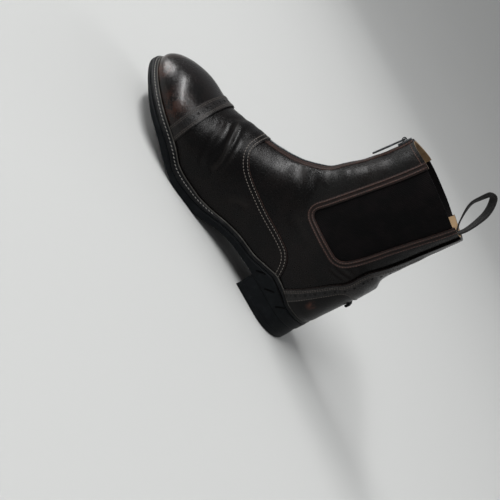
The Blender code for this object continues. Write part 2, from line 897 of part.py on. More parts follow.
def make_pull_loop(finish):
    """Webbing loop whose two ends lie together inside the back of the collar."""
    level = np.array([shaft_height])
    back, _ = profile(level)
    x = back[0] + wall + gap + loop_set_in + strap_thickness / 2
    z = height_at(back[0], shaft_height)
    step = strap_thickness + gap
    path = Table(
        "along x z",
        (
            (0.00, 0.00, -0.40),
            (0.14, 0.00, -0.06),
            (0.22, -0.02, 0.12),
            (0.36, 0.07, 0.62),
            (0.46, 0.26, 0.93),
            (0.50, 0.36, 1.00),
            (0.54, 0.44, 0.94),
            (0.64, 0.43, 0.62),
            (0.78, 0.16, 0.12),
            (0.86, 0.00, -0.06),
            (1.00, 0.00, -0.36),
        ),
    )
    rings = []
    places = []
    for t in np.linspace(0, 1, 33):
        side_step = step * smooth_step((t - 0.5) * 5)
        places.append((x + path.at("x", t) * loop_height + side_step, z + path.at("z", t) * loop_height))
    places = np.array(places)
    for k, place in enumerate(places):
        run = places[min(k + 1, len(places) - 1)] - places[max(k - 1, 0)]
        run = run / np.linalg.norm(run)
        out = np.array([-run[1], run[0]]) * strap_thickness / 2
        half = strap_width / 2
        rings.append(
            np.array(
                [
                    (place[0] + out[0], -half, place[1] + out[1]),
                    (place[0] + out[0], half, place[1] + out[1]),
                    (place[0] - out[0], half, place[1] - out[1]),
                    (place[0] - out[0], -half, place[1] - out[1]),
                ]
            )
        )
    return lofted("pull_loop", rings, finish)


def main():
    for old in list(bpy.data.objects):
        bpy.data.objects.remove(old)
    leather = material("black_leather", (0.028, 0.022, 0.021), 0.36)
    edge_leather = material("welt_leather", (0.020, 0.018, 0.018), 0.5)
    rubber = material("black_rubber", (0.018, 0.018, 0.020), 0.6)
    lining = material("tan_lining", (0.42, 0.26, 0.13), 0.8)
    elastic = material("black_elastic", (0.010, 0.010, 0.011), 0.9)
    tape = material("zip_tape_black", (0.012, 0.012, 0.013), 0.85)
    gunmetal = material("gunmetal", (0.10, 0.10, 0.105), 0.35, 1.0)
    rings, normals = last_rings()
    make_outsole(rubber)
    make_welt(edge_leather)
    make_insole(lining)
    make_upper(rings, normals, leather)
    make_toe_cap(rings, normals, leather)
    make_counter(rings, normals, leather)
    make_spur_rest(rings, normals, leather)
    make_gore("gore_outer", rings, normals, 0.0, ball_width, elastic)
    make_gore("gore_inner", rings, normals, -ball_width, 0.0, elastic)
    make_zip_tape(rings, normals, tape)
    make_zip_teeth(gunmetal)
    make_slider(gunmetal)
    make_pull(gunmetal)
    make_pull_loop(tape)


main()
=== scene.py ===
import json
import math

import bmesh
import bpy
import numpy as np
from mathutils import Matrix


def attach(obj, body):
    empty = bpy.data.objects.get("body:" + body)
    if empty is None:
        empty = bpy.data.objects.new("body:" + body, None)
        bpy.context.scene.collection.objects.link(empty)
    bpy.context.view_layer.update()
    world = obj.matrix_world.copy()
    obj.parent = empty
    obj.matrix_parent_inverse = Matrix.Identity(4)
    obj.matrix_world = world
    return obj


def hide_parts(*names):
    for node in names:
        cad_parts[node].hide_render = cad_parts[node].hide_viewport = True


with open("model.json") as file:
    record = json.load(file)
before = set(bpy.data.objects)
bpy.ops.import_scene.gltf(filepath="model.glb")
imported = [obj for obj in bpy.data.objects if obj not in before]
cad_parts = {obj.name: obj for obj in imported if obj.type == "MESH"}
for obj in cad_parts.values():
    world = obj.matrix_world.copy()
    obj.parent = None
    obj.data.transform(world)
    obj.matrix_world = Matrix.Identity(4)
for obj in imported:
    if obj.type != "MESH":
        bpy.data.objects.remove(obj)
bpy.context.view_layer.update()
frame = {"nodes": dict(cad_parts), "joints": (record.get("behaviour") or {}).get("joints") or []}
print("frame loaded")

# The last's sizes, the same as the solids'
last = {
    "length": 0.2785,
    "ballWidth": 0.100,
    "heelHeight": 0.0325,
    "instepHeight": 0.100,
    "shaftHeight": 0.191,
    "collarDepth": 0.100,
    "shaftWidth": 0.080,
    "collarSwing": 0.0045,
    "toeDome": 0.050,
    "toeReachOuter": 0.066,
    "toeReachInner": 0.054,
    "heelReach": 0.034,
    "weltWidth": 0.0052,
    "weltEdge": 0.0024,
    "weltSlope": 0.0034,
    "backExtra": 0.0030,
}
heelX = (last["backExtra"] - last["length"]) / 2
toeX = heelX + last["length"]


def smoothCurve(xs, ys):
    # a curve through the points that never overshoots one of them
    xs = np.asarray(xs, float)
    ys = np.asarray(ys, float)
    step = np.diff(xs)
    rise = np.diff(ys) / step
    tangent = np.zeros(len(xs))
    for i in range(1, len(xs) - 1):
        if rise[i - 1] * rise[i] > 0:
            before = 2 * step[i] + step[i - 1]
            after = step[i] + 2 * step[i - 1]
            tangent[i] = (before + after) / (before / rise[i - 1] + after / rise[i])

    def at(x):
        x = np.clip(x, xs[0], xs[-1])
        i = np.clip(np.searchsorted(xs, x, side="right") - 1, 0, len(xs) - 2)
        t = (x - xs[i]) / step[i]
        return (
            ys[i] * (2 * t**3 - 3 * t**2 + 1)
            + tangent[i] * step[i] * (t**3 - 2 * t**2 + t)
            + ys[i + 1] * (3 * t**2 - 2 * t**3)
            + tangent[i + 1] * step[i] * (t**3 - t**2)
        )

    return at


def curvesOf(rows):
    rows = np.array(rows, float)
    return [smoothCurve(rows[:, 0], rows[:, i]) for i in range(1, rows.shape[1])]


# along the sole: outer edge, inner edge, ridge, and how much of the welt shows
outerShare, innerShare, ridgeShare, rimShare = curvesOf(
    (
        (0.00, 0.335, 0.330, 0.000, 0.32),
        (0.12, 0.335, 0.325, 0.000, 0.32),
        (0.26, 0.325, 0.300, 0.000, 0.32),
        (0.40, 0.340, 0.245, 0.000, 0.40),
        (0.50, 0.390, 0.270, 0.000, 0.70),
        (0.60, 0.465, 0.360, -0.010, 1.00),
        (0.69, 0.500, 0.450, -0.025, 1.00),
        (0.78, 0.495, 0.500, -0.045, 1.00),
        (1.00, 0.440, 0.480, -0.070, 1.00),
    )
)
# along the sole: its top edge and underside, and the top line of the foot
featherShare, bottomShare, topShare = curvesOf(
    (
        (0.00, 0.98, 0.54, 0.95),
        (0.09, 1.00, 0.54, 1.05),
        (0.14, 1.09, 0.54, 1.10),
        (0.19, 1.13, 0.54, 1.15),
        (0.24, 1.00, 0.53, 1.19),
        (0.29, 0.86, 0.51, 1.22),
        (0.36, 0.79, 0.45, 1.22),
        (0.42, 0.66, 0.30, 1.13),
        (0.47, 0.51, 0.10, 1.01),
        (0.50, 0.44, 0.00, 0.95),
        (0.54, 0.39, 0.00, 0.885),
        (0.60, 0.39, 0.00, 0.805),
        (0.64, 0.43, 0.07, 0.76),
        (0.69, 0.60, 0.20, 0.70),
        (0.74, 0.72, 0.34, 0.65),
        (0.78, 0.79, 0.42, 0.627),
        (0.85, 0.90, 0.56, 0.617),
        (0.92, 1.00, 0.72, 0.60),
        (1.00, 1.10, 0.82, 0.575),
    )
)
# up the shaft: front, back and half width
shaftFront, shaftBack, shaftHalf = curvesOf(
    (
        (0.10, 0.60, 0.030, 0.36),
        (0.30, 0.84, 0.013, 0.42),
        (0.45, 0.98, 0.018, 0.43),
        (0.52, 1.05, 0.040, 0.435),
        (0.58, 1.09, 0.075, 0.44),
        (0.67, 1.09, 0.080, 0.45),
        (0.78, 1.04, 0.073, 0.47),
        (0.90, 1.00, 0.070, 0.49),
        (1.00, 0.99, 0.065, 0.50),
    )
)
(collarRise,) = curvesOf(((0.05, -1.00), (0.40, -0.10), (0.75, 0.50), (1.00, 0.00)))


def share(x):
    return (x - heelX) / last["length"]


def fromHeel(millimetres):
    return heelX + np.asarray(millimetres, float) / 1000


def roundEnd(distance, reach, power=2.0):
    left = 1 - np.clip(distance / reach, 0, 1)
    return (1 - left**power) ** (1 / power)


def smoothStep(x):
    t = np.clip(x, 0, 1)
    return t * t * (3 - 2 * t)


def feather(x):
    return last["heelHeight"] * featherShare(share(x))


def underside(x):
    return last["heelHeight"] * bottomShare(share(x))


def rim(x):
    return last["weltWidth"] * rimShare(share(x))


def ridge(x):
    return last["ballWidth"] * ridgeShare(share(x))


def halfWidth(x, inset, outer):
    # from the ridge to the sole's edge drawn in by inset
    body = last["ballWidth"] * (outerShare if outer else innerShare)(share(x))
    body = body - ridge(x) if outer else body + ridge(x)
    reach = last["toeReachOuter"] if outer else last["toeReachInner"]
    front = roundEnd(toeX - inset - x, reach - inset)
    back = roundEnd(x - heelX - inset, last["heelReach"] - inset)
    return np.maximum(body - inset, 0) * front * back


def footValue(x, y, z):
    inset = rim(x)
    half = np.where(y > ridge(x), halfWidth(x, inset, True), halfWidth(x, inset, False))
    front = toeX - last["weltWidth"]
    rise = last["instepHeight"] * topShare(share(x)) - feather(x)
    rise = rise * roundEnd(front - x, last["toeDome"], 2.3)
    q = np.clip((z - feather(x)) / np.maximum(rise, 1e-5), 0, 50)
    tuck = 1 - 0.02 * (1 - np.clip(q / 0.25, 0, 1)) ** 2
    across = np.abs(y - ridge(x)) / np.maximum(half * tuck, 1e-5)
    return np.where((half <= 1e-5) | (rise <= 1e-5), 99.0, across**2.1 + q**2.1)


def shaftValue(x, y, z):
    level = z / last["shaftHeight"]
    front = heelX + last["collarDepth"] * shaftFront(level)
    back = heelX + last["collarDepth"] * shaftBack(level)
    half = last["shaftWidth"] * shaftHalf(level)
    middle = (front + back) / 2
    return np.abs((x - middle) / (front - middle)) ** 2.15 + np.abs(y / half) ** 2.15


def lastValue(x, y, z):
    # 1 on the leather's outer face, less inside it
    foot = np.maximum(footValue(x, y, z), 1e-3) ** -5.0
    leg = np.maximum(shaftValue(x, y, z), 1e-3) ** -5.0
    return (foot + leg) ** -0.2


def heightAt(x, level):
    low = feather(x) * np.clip(1 - level / (2.0 * last["heelHeight"]), 0, 1)
    rise = last["collarSwing"] * collarRise((x - heelX) / last["collarDepth"])
    return level + low + rise * smoothStep(level / last["shaftHeight"] * 3 - 2)


def crossing(valueAt, inside, outside):
    for _ in range(26):
        middle = (inside + outside) / 2
        within = valueAt(middle) < 1
        inside = np.where(within, middle, inside)
        outside = np.where(within, outside, middle)
    return (inside + outside) / 2


def profile(levels):
    # back and front x on the middle line at each level
    def onMiddle(x):
        return lastValue(x, ridge(x), heightAt(x, levels))

    middle = np.full(len(levels), heelX + last["collarDepth"] / 2)
    back = crossing(onMiddle, middle, np.full(len(levels), heelX - 0.01))
    front = crossing(onMiddle, middle, np.full(len(levels), toeX))
    return back, front


def unit(vectors):
    return vectors / np.maximum(np.linalg.norm(vectors, axis=-1, keepdims=True), 1e-9)


def normalsAt(points):
    step = 0.0002
    x, y, z = points[..., 0], points[..., 1], points[..., 2]
    slope = np.stack(
        [
            lastValue(x + step, y, z) - lastValue(x - step, y, z),
            lastValue(x, y + step, z) - lastValue(x, y - step, z),
            lastValue(x, y, z + step) - lastValue(x, y, z - step),
        ],
        -1,
    )
    return unit(slope)


def spread(count):
    return (1 - np.cos(math.pi * np.arange(count + 1) / count)) / 2


def stations(back, front, count):
    # the same places between the rounded ends, for any inset
    x = heelX + spread(count) * last["length"]
    fromBack = x - heelX
    fromFront = toeX - x
    heelReach, toeReach = last["heelReach"], last["toeReachInner"]
    x = np.where(fromBack < heelReach, heelX + back + fromBack * (1 - back / heelReach), x)
    return np.where(fromFront < toeReach, toeX - front - fromFront * (1 - front / toeReach), x)


def around(outerHalf, innerHalf, xs):
    outerY = ridge(xs) + outerHalf
    innerY = ridge(xs) - innerHalf
    return np.concatenate([xs, xs[-2:0:-1]]), np.concatenate([outerY, innerY[-2:0:-1]])


gridOf = {"side": 150, "levels": 241}


def leatherGrid(sideCount, levelCount):
    # rings of points from the welt to the collar, each from the back along the outer side
    fine = np.linspace(0, last["shaftHeight"], 700)
    back, front = profile(fine)
    frontRun = np.hypot(np.diff(front), np.diff(heightAt(front, fine)))
    backRun = np.hypot(np.diff(back), np.diff(heightAt(back, fine)))
    run = np.concatenate([[0], np.cumsum(frontRun / frontRun.sum() + backRun / backRun.sum())])
    levels = np.interp(np.linspace(0, run[-1], levelCount), run, fine)
    back, front = profile(levels)
    even = back[:, None] + (front - back)[:, None] * spread(sideCount)[None, :]
    low = stations(back[0] - heelX, toeX - front[0], sideCount)
    nearSole = np.clip(1 - levels / (0.8 * last["heelHeight"]), 0, 1)[:, None]
    xs = even + (low - even[0]) * nearSole
    z = heightAt(xs, levels[:, None])
    middle = ridge(xs)
    far = np.full(xs.shape, last["ballWidth"])
    outer = crossing(lambda d: lastValue(xs, middle + d, z), np.zeros(xs.shape), far)
    inner = crossing(lambda d: lastValue(xs, middle - d, z), np.zeros(xs.shape), far)
    outer[:, [0, -1]] = 0
    inner[:, [0, -1]] = 0
    rings = []
    for k in range(levelCount):
        ringX, ringY = around(outer[k], inner[k], xs[k])
        rings.append(np.stack([ringX, ringY, heightAt(ringX, levels[k])], 1))
    rings = np.array(rings)
    return rings, normalsAt(rings), levels


# Creases: depth and width in millimetres, then points down each one from the heel's back
creases = {
    "vampMain": (1.15, 2.4, ((186, 12, 69), (184.4, 18.5, 68), (178.1, 27.1, 63), (170.9, 33.2, 54.4),
                             (164.1, 37, 43.1), (163.2, 38.7, 34.7))),
    "vampFork": (0.8, 2.0, ((181, 24, 65), (176.5, 31, 56), (172.5, 35.5, 46), (171, 38, 36))),
    "vampBack": (0.6, 1.9, ((173, 23.5, 66.5), (166.5, 31, 58.5), (160, 35.5, 49), (157, 38, 40))),
    "vampTop": (0.45, 2.8, ((192, 20, 64.5), (188, 6, 70.5), (187, -6, 70.5), (190, -20, 64))),
    "vampHigh": (0.4, 3.0, ((178, 18, 71), (176, 6, 76), (175, -6, 76), (177, -18, 71))),
    "vampLow": (0.65, 1.8, ((190, 34, 52), (184, 37, 45), (177, 39.5, 37), (172, 41, 30))),
    "capSide": (0.65, 1.5, ((194, 24, 60), (189, 31, 54), (185, 36, 47), (184, 40, 38))),
    "innerMain": (0.95, 2.8, ((184, -26, 65), (177, -34, 56), (171, -39, 45), (168, -41, 35))),
    "innerFork": (0.55, 2.2, ((189, -30, 60), (184, -37, 51), (180, -41, 41), (179, -43, 32))),
    "innerLow": (0.6, 1.8, ((174, -26, 68), (167, -33, 60), (162, -37, 50), (160, -38, 40))),
    "ankleFront": (0.35, 5.0, ((112, 30, 92), (121, 20, 98), (125, 10, 101))),
    "ankleFrontInner": (0.4, 5.0, ((112, -30, 92), (121, -20, 98), (125, -10, 101))),
    "shaftLow": (0.35, 3.0, ((100, 30, 112), (107, 20, 115), (112, 10, 117))),
    "shaftMiddle": (0.28, 2.4, ((99, 28, 133), (104, 20, 136), (108, 10, 138))),
    "shaftMiddleInner": (0.5, 3.0, ((98, -30, 126), (104, -20, 129), (109, -10, 131))),
    "shaftHigh": (0.2, 2.2, ((96, 27, 148), (101, 18, 150), (104, 10, 151))),
    "strapFold": (0.7, 1.8, ((24, 27, 93), (30, 31, 91), (38, 34, 87))),
    "strapFoldLow": (0.5, 1.6, ((23, 28, 88), (31, 32, 85), (40, 34, 82))),
    "strapFoldInner": (0.7, 1.8, ((24, -27, 93), (30, -31, 91), (38, -34, 87))),
    "quarterSag": (0.7, 6.0, ((60, 34, 74), (78, 33, 78), (96, 32, 76))),
    "quarterSagInner": (0.7, 6.0, ((60, -34, 74), (78, -33, 78), (96, -32, 76))),
    "waistOuter": (0.5, 3.0, ((120, 32, 46), (128, 32, 40), (134, 33, 32))),
}
# soft swellings, written in the same way, with a depth below nothing
softForms = {
    "vampCrown": (-0.9, 11.0, ((170, 8, 77), (172, -4, 77))),
    "ankleBone": (-0.7, 19.0, ((62, 36, 82), (66, 36, 84))),
    "ankleBoneInner": (-0.8, 19.0, ((66, -36, 88), (70, -36, 90))),
}
settle = {"welt": 0.012, "collar": 0.012, "lasted": 0.0008, "lastedOver": 0.0065, "folded": 0.0007}


def nearLine(points, line):
    # distance to a line of points, and how far along it each nearest place lies
    line = np.array(line, float)
    place = np.array([fromHeel(line[:, 0]), line[:, 1] / 1000, line[:, 2] / 1000]).T
    t = np.linspace(0, 1, len(place))
    fine = np.linspace(0, 1, 4 * len(place))
    place = np.stack([smoothCurve(t, place[:, i])(fine) for i in range(3)], 1)
    best = np.full(len(points), 1.0)
    along = np.zeros(len(points))
    for k in range(len(place) - 1):
        run = place[k + 1] - place[k]
        s = np.clip((points - place[k]) @ run / max(run @ run, 1e-12), 0, 1)
        distance = np.linalg.norm(points - place[k] - s[:, None] * run, axis=1)
        closer = distance < best
        best = np.where(closer, distance, best)
        along = np.where(closer, (k + s) / (len(place) - 1), along)
    return best, along


def creaseDepth(points):
    # how far the leather sinks at each point, with a soft ridge beside each trough
    flat = points.reshape(-1, 3)
    depth = np.zeros(len(flat))
    for deep, across, line in [*creases.values(), *softForms.values()]:
        low = fromHeel(min(p[0] for p in line)) - 0.02
        high = fromHeel(max(p[0] for p in line)) + 0.02
        near = (flat[:, 0] > low) & (flat[:, 0] < high)
        if not near.any():
            continue
        distance, along = nearLine(flat[near], line)
        distance = distance * 1000 / across
        fade = np.sqrt(np.clip(4 * along * (1 - along), 0, 1)) if len(line) > 2 else 1.0
        trough = np.exp(-(distance**2)) - 0.38 * np.exp(-((distance - 1.9) ** 2) / 0.8)
        if deep < 0:
            trough = np.exp(-(distance**2))
        depth[near] += deep / 1000 * fade * trough
    return depth.reshape(points.shape[:-1])


def unevenness(points):
    # slow waves that keep a worn upper from looking machined
    x, y, z = points[..., 0], points[..., 1], points[..., 2]
    soft = np.sin(x * 95 + 1.3) * np.sin(z * 120 + y * 60 + 0.7)
    small = np.sin(x * 260 + y * 190 + 2.1) * np.sin(z * 310 - x * 120)
    high = smoothStep((z - 0.075) / 0.03)
    return 0.00028 * soft + 0.00010 * small * (0.4 + high)


def sinkAt(points):
    # creases and waves, fading out at the collar and at the welt, where the leather is pulled in
    x, z = points[..., 0], points[..., 2]
    nearWelt = smoothStep((z - feather(x)) / settle["welt"])
    nearCollar = smoothStep((heightAt(x, last["shaftHeight"]) - z) / settle["collar"])
    lasted = settle["lasted"] * (1 - smoothStep((z - feather(x)) / settle["lastedOver"]))
    return (creaseDepth(points) + unevenness(points)) * nearWelt * nearCollar + lasted


grid, gridOut, gridLevels = leatherGrid(gridOf["side"], gridOf["levels"])
gridSink = sinkAt(grid)
print("leather grid", grid.shape)


# Materials: a wire is a value or colour on its way to the shader, and arithmetic on it adds nodes
class Wire:
    def __init__(self, finish, socket):
        self.finish = finish
        self.socket = socket

    def maths(self, operation, first, second=0.0, clamp=False):
        settings = {"operation": operation, "use_clamp": clamp}
        return self.finish.node("ShaderNodeMath", settings, {0: first, 1: second})

    def __add__(self, other):
        return self.maths("ADD", self, other)

    def __radd__(self, other):
        return self.maths("ADD", other, self)

    def __sub__(self, other):
        return self.maths("SUBTRACT", self, other)

    def __rsub__(self, other):
        return self.maths("SUBTRACT", other, self)

    def __mul__(self, other):
        return self.maths("MULTIPLY", self, other)

    def __rmul__(self, other):
        return self.maths("MULTIPLY", other, self)

    def __pow__(self, other):
        return self.maths("POWER", self, other)

    def clipped(self):
        return self.maths("ADD", self, 0.0, clamp=True)


class Finish:
    def __init__(self, name):
        self.material = bpy.data.materials.new(name)
        self.material.use_nodes = True
        self.tree = self.material.node_tree
        self.shader = self.tree.nodes["Principled BSDF"]
        self.place = self.node("ShaderNodeTexCoord", {}, {}, "Object")

    def node(self, kind, settings, inputs, output=0):
        made = self.tree.nodes.new(kind)
        for key, value in settings.items():
            if key == "stops":
                ramp = made.color_ramp
                for i, (at, shade) in enumerate(value):
                    stop = ramp.elements[i] if i < 2 else ramp.elements.new(at)
                    stop.position = at
                    stop.color = shade
            else:
                setattr(made, key, value)
        for key, value in inputs.items():
            if isinstance(value, Wire):
                self.tree.links.new(value.socket, made.inputs[key])
            else:
                made.inputs[key].default_value = value
        return Wire(self, made.outputs[output])

    def noise(self, scale, detail=3.0, roughness=0.55, stretch=None, twist=0.0):
        place = self.place
        if stretch:
            place = self.node("ShaderNodeMapping", {}, {"Vector": place, "Scale": stretch})
        values = {"Vector": place, "Scale": scale, "Detail": detail}
        values |= {"Roughness": roughness, "Distortion": twist}
        return self.node("ShaderNodeTexNoise", {}, values, "Fac")

    def cells(self, scale, feature="F1"):
        settings = {"feature": feature}
        return self.node("ShaderNodeTexVoronoi", settings, {"Vector": self.place, "Scale": scale}, "Distance")

    def between(self, value, low, high):
        values = {"Value": value, "From Min": low, "From Max": high}
        return self.node("ShaderNodeMapRange", {"interpolation_type": "SMOOTHSTEP"}, values)

    def mix(self, amount, first, second):
        def shade(value):
            return value if isinstance(value, Wire) else (*value, 1.0)

        values = {0: amount, 6: shade(first), 7: shade(second)}
        return self.node("ShaderNodeMix", {"data_type": "RGBA"}, values, 2)

    def away(self, point):
        # distance in millimetres from a point given from the heel's back
        at = (float(fromHeel(point[0])), point[1] / 1000, point[2] / 1000)
        settings = {"operation": "DISTANCE"}
        return self.node("ShaderNodeVectorMath", settings, {0: self.place, 1: at}, "Value") * 1000.0

    def axis(self, name):
        return self.node("ShaderNodeSeparateXYZ", {}, {0: self.place}, name)

    def ribs(self, run, pitch):
        # a wave that repeats at that pitch in metres
        return self.node("ShaderNodeMath", {"operation": "SINE"}, {0: run * (2 * math.pi / pitch)})

    def attribute(self, name):
        return self.node("ShaderNodeAttribute", {"attribute_name": name}, {}, "Fac")

    def bump(self, height, strength, distance, under=None):
        values = {"Height": height, "Strength": strength, "Distance": distance}
        if under:
            values["Normal"] = under
        return self.node("ShaderNodeBump", {}, values, "Normal")

    def set(self, **values):
        # a number stays on the shader's own socket; a wire is linked
        names = {
            "colour": "Base Color", "roughness": "Roughness", "metal": "Metallic", "normal": "Normal",
            "coat": "Coat Weight", "coatRoughness": "Coat Roughness", "specular": "Specular IOR Level",
            "sheen": "Sheen Weight", "sheenRoughness": "Sheen Roughness",
        }
        for key, value in values.items():
            socket = self.shader.inputs[names[key]]
            if isinstance(value, Wire):
                self.tree.links.new(value.socket, socket)
            elif isinstance(value, tuple):
                socket.default_value = (*value, 1.0)
            else:
                socket.default_value = value
        return self.material


# Leather: its colours, which follow the light on the photo's own leather, and the depth of its grain
polish = {
    "dark": (0.0020, 0.0018, 0.0018),
    "brown": (0.0052, 0.0036, 0.0033),
    "worn": (0.060, 0.0225, 0.0140),
    "dull": (0.0169, 0.0143, 0.0130),
    "paintedCreaseShade": (0.0014, 0.0012, 0.0012),
    "grain": 0.00009,
}


def leatherFinish(name, brown=0.55, shine=0.27, wear=(), gloss=0.105, coat=0.055, tone=1.0):
    f = Finish(name)
    cloud = f.noise(42.0, 4.0, 0.6)
    smudge = f.noise(160.0, 3.0, 0.6, twist=0.4)
    speck = f.noise(900.0, 2.0, 0.6)
    dark, light = (tuple(tone * c for c in polish[key]) for key in ("dark", "brown"))
    shade = f.mix(f.between(cloud * 0.75 + smudge * 0.25, 0.42, 0.62) * brown, dark, light)
    folded = f.attribute("crease")
    shade = f.mix((folded * (0.35 + speck * 0.5)).clipped() * 0.8, shade, polish["dull"])
    # painted shade: the bottom of each crease is darkened to near black
    shade = f.mix(f.between(folded, 0.72, 0.97) * 0.85, shade, polish["paintedCreaseShade"])
    for point, near, far, amount in wear:
        blotch = f.between(smudge * 0.6 + speck * 0.4, 0.38, 0.60)
        touched = f.between(f.away(point), far, near) * blotch
        shade = f.mix((touched * amount).clipped(), shade, polish["worn"])
    crackle = f.noise(640.0, 5.0, 0.7, twist=0.6)
    rough = shine + cloud * 0.10 + speck * 0.08
    rough = rough + f.between(crackle, 0.40, 0.62) * 0.12 + folded * 0.16
    hide = f.cells(1150.0, "SMOOTH_F1")
    wrinkle = f.noise(300.0, 5.0, 0.62, stretch=(1.0, 1.0, 2.6), twist=0.8)
    skin = f.bump(hide, 0.30, polish["grain"])
    normal = f.bump(wrinkle, 0.5, 0.00042, f.bump(crackle, 0.6, 0.00016, skin))
    return f.set(
        colour=shade, roughness=rough, normal=normal, coat=coat, coatRoughness=0.17, specular=gloss
    )


def rawEdgeFinish(name, shade, second):
    f = Finish(name)
    fray = f.noise(700.0, 3.0, 0.7)
    tint = f.mix(f.between(fray, 0.35, 0.65), shade, second)
    normal = f.bump(fray, 0.5, 0.0002)
    return f.set(colour=tint, roughness=0.62 + fray * 0.2, normal=normal, specular=0.35)


def threadFinish(name, shade):
    f = Finish(name)
    fuzz = f.noise(2600.0, 2.0, 0.6)
    tint = f.mix(fuzz, tuple(c * 0.55 for c in shade), shade)
    return f.set(colour=tint, roughness=0.75, normal=f.bump(fuzz, 0.6, 0.0001), specular=0.3)


def rubberFinish(name, shade, dusty, rough):
    f = Finish(name)
    dust = f.noise(120.0, 4.0, 0.65)
    pore = f.noise(1500.0, 2.0, 0.6)
    low = f.between(f.axis("Z"), 0.016, 0.0)
    tint = f.mix((f.between(dust, 0.45, 0.75) * 0.6 + low * 0.35 * dust).clipped(), shade, dusty)
    normal = f.bump(pore, 0.35, 0.00008)
    return f.set(colour=tint, roughness=rough + dust * 0.18, normal=normal, specular=0.10)


def elasticFinish():
    f = Finish("blackElastic")
    across = f.axis("X")
    rib = f.ribs(across, 0.0013)
    weft = f.ribs(f.axis("Z"), 0.0009)
    faded = f.noise(60.0, 4.0, 0.6)
    tint = f.mix(f.between(faded, 0.4, 0.7) * 0.7, (0.0016, 0.0014, 0.0016), (0.0058, 0.0041, 0.0044))
    tint = f.mix((rib * 0.5 + 0.5) * 0.35, tint, (0.0015, 0.0015, 0.0015))
    normal = f.bump(rib * 0.75 + weft * rib * 0.35, 0.6, 0.00018)
    rough = 0.80 + faded * 0.12
    return f.set(
        colour=tint, roughness=rough, normal=normal, sheen=0.02, sheenRoughness=0.5, specular=0.08
    )


def liningFinish():
    f = Finish("tanLining")
    stain = f.noise(55.0, 4.0, 0.6)
    pore = f.cells(1600.0)
    tint = f.mix(f.between(stain, 0.35, 0.7), (0.27, 0.178, 0.092), (0.150, 0.088, 0.042))
    # painted shade: the lining is darkened further down inside the shaft, which darkens the insole too
    deep = f.between(f.axis("Z"), 0.175, 0.09)
    tint = f.mix(deep * 0.8, tint, (0.055, 0.034, 0.020))
    normal = f.bump(pore, 0.3, 0.00012, f.bump(stain, 0.4, 0.0006))
    return f.set(colour=tint, roughness=0.68 + stain * 0.15, normal=normal, specular=0.35)


def metalFinish(name, shade, rough):
    f = Finish(name)
    rub = f.noise(420.0, 4.0, 0.65)
    tint = f.mix(f.between(rub, 0.45, 0.75), shade, tuple(min(1.0, c * 2.3 + 0.03) for c in shade))
    normal = f.bump(rub, 0.15, 0.00006)
    return f.set(colour=tint, metal=0.85, roughness=rough + rub * 0.2, normal=normal)


def webbingFinish():
    f = Finish("blackWebbing")
    z = f.axis("Z") + f.axis("X") * 0.6
    side = f.axis("Y")
    twill = f.ribs(z + side * 0.9, 0.0012)
    cross = f.ribs(z - side * 0.9, 0.0012)
    fuzz = f.noise(1400.0, 3.0, 0.7)
    tint = f.mix((twill * cross * 0.4 + fuzz * 0.5).clipped(), (0.006, 0.006, 0.0065), (0.030, 0.028, 0.027))
    normal = f.bump(twill * cross, 0.6, 0.00016)
    return f.set(colour=tint, roughness=0.85, normal=normal, sheen=0.1, specular=0.25)


def bindingFinish(shade, second):
    f = Finish("reddishBinding")
    rub = f.noise(230.0, 4.0, 0.65)
    return f.set(
        colour=f.mix(f.between(rub, 0.35, 0.68), shade, second),
        roughness=0.42 + rub * 0.2,
        normal=f.bump(f.cells(1100.0), 0.3, 0.0001, f.bump(rub, 0.3, 0.0004)),
        coat=0.05, coatRoughness=0.3, specular=0.15,
    )


# places where the polish is worn through to red-brown: place, full within, gone beyond, how much
toeWear = (
    ((272, -4, 40), 4.0, 22.0, 0.55),
    ((262, 26, 38), 3.0, 17.0, 0.6),
    ((225, 42, 36), 4.0, 24.0, 0.35),
    ((240, -44, 36), 4.0, 22.0, 0.35),
)
heelWear = (((17, 31, 50), 1.0, 7.0, 0.9),)

upperLeather = leatherFinish("polishedLeather", 0.55, 0.13)
capLeather = leatherFinish("capLeather", 0.7, 0.07, toeWear, gloss=0.18, coat=0.15)
bandLeather = leatherFinish("bandLeather", 0.6, 0.17, gloss=0.24, tone=1.9)
counterLeather = leatherFinish("counterLeather", 0.45, 0.22, heelWear)
bindingLeather = bindingFinish((0.0049, 0.0029, 0.0025), (0.0128, 0.0058, 0.0045))
cutEdge = rawEdgeFinish("rawEdge", (0.0105, 0.0053, 0.0045), (0.0540, 0.0210, 0.0135))
darkEdge = rawEdgeFinish("darkEdge", (0.0034, 0.0029, 0.0027), (0.0180, 0.0083, 0.0060))
piping = rawEdgeFinish("seamPiping", (0.0060, 0.0033, 0.0029), (0.0218, 0.0097, 0.0071))
# painted shade: the walls and floors of the punched holes are near black
punchedHole = rawEdgeFinish("punchedHole", (0.0015, 0.0012, 0.001), (0.004, 0.003, 0.003))
brownThread = threadFinish("brownThread", (0.125, 0.060, 0.044))
darkThread = threadFinish("darkThread", (0.0680, 0.0578, 0.0510))
dustyThread = threadFinish("dustyThread", (0.150, 0.132, 0.116))
paleThread = threadFinish("paleThread", (0.29, 0.28, 0.26))
tapeCloth = threadFinish("zipTapeCloth", (0.020, 0.021, 0.023))
# painted shade: the faces cut by the heel's grooves are far darker than the rubber
soleGroove = rubberFinish("soleGroove", (0.0008, 0.0010, 0.0012), (0.002, 0.002, 0.002), 0.7)
soleRubber = rubberFinish("blackRubber", (0.0020, 0.0028, 0.0036), (0.0090, 0.0105, 0.0120), 0.42)
weltFinish = rubberFinish("weltRubber", (0.0042, 0.0046, 0.0053), (0.0210, 0.0210, 0.0210), 0.36)
beadFinish = rubberFinish("weltBead", (0.0450, 0.0435, 0.0398), (0.1125, 0.1087, 0.1013), 0.5)
elastic = elasticFinish()
lining = liningFinish()
gunmetal = metalFinish("gunmetal", (0.034, 0.037, 0.040), 0.28)
toothMetal = metalFinish("zipTooth", (0.030, 0.036, 0.040), 0.28)
webbing = webbingFinish()
print("materials made")


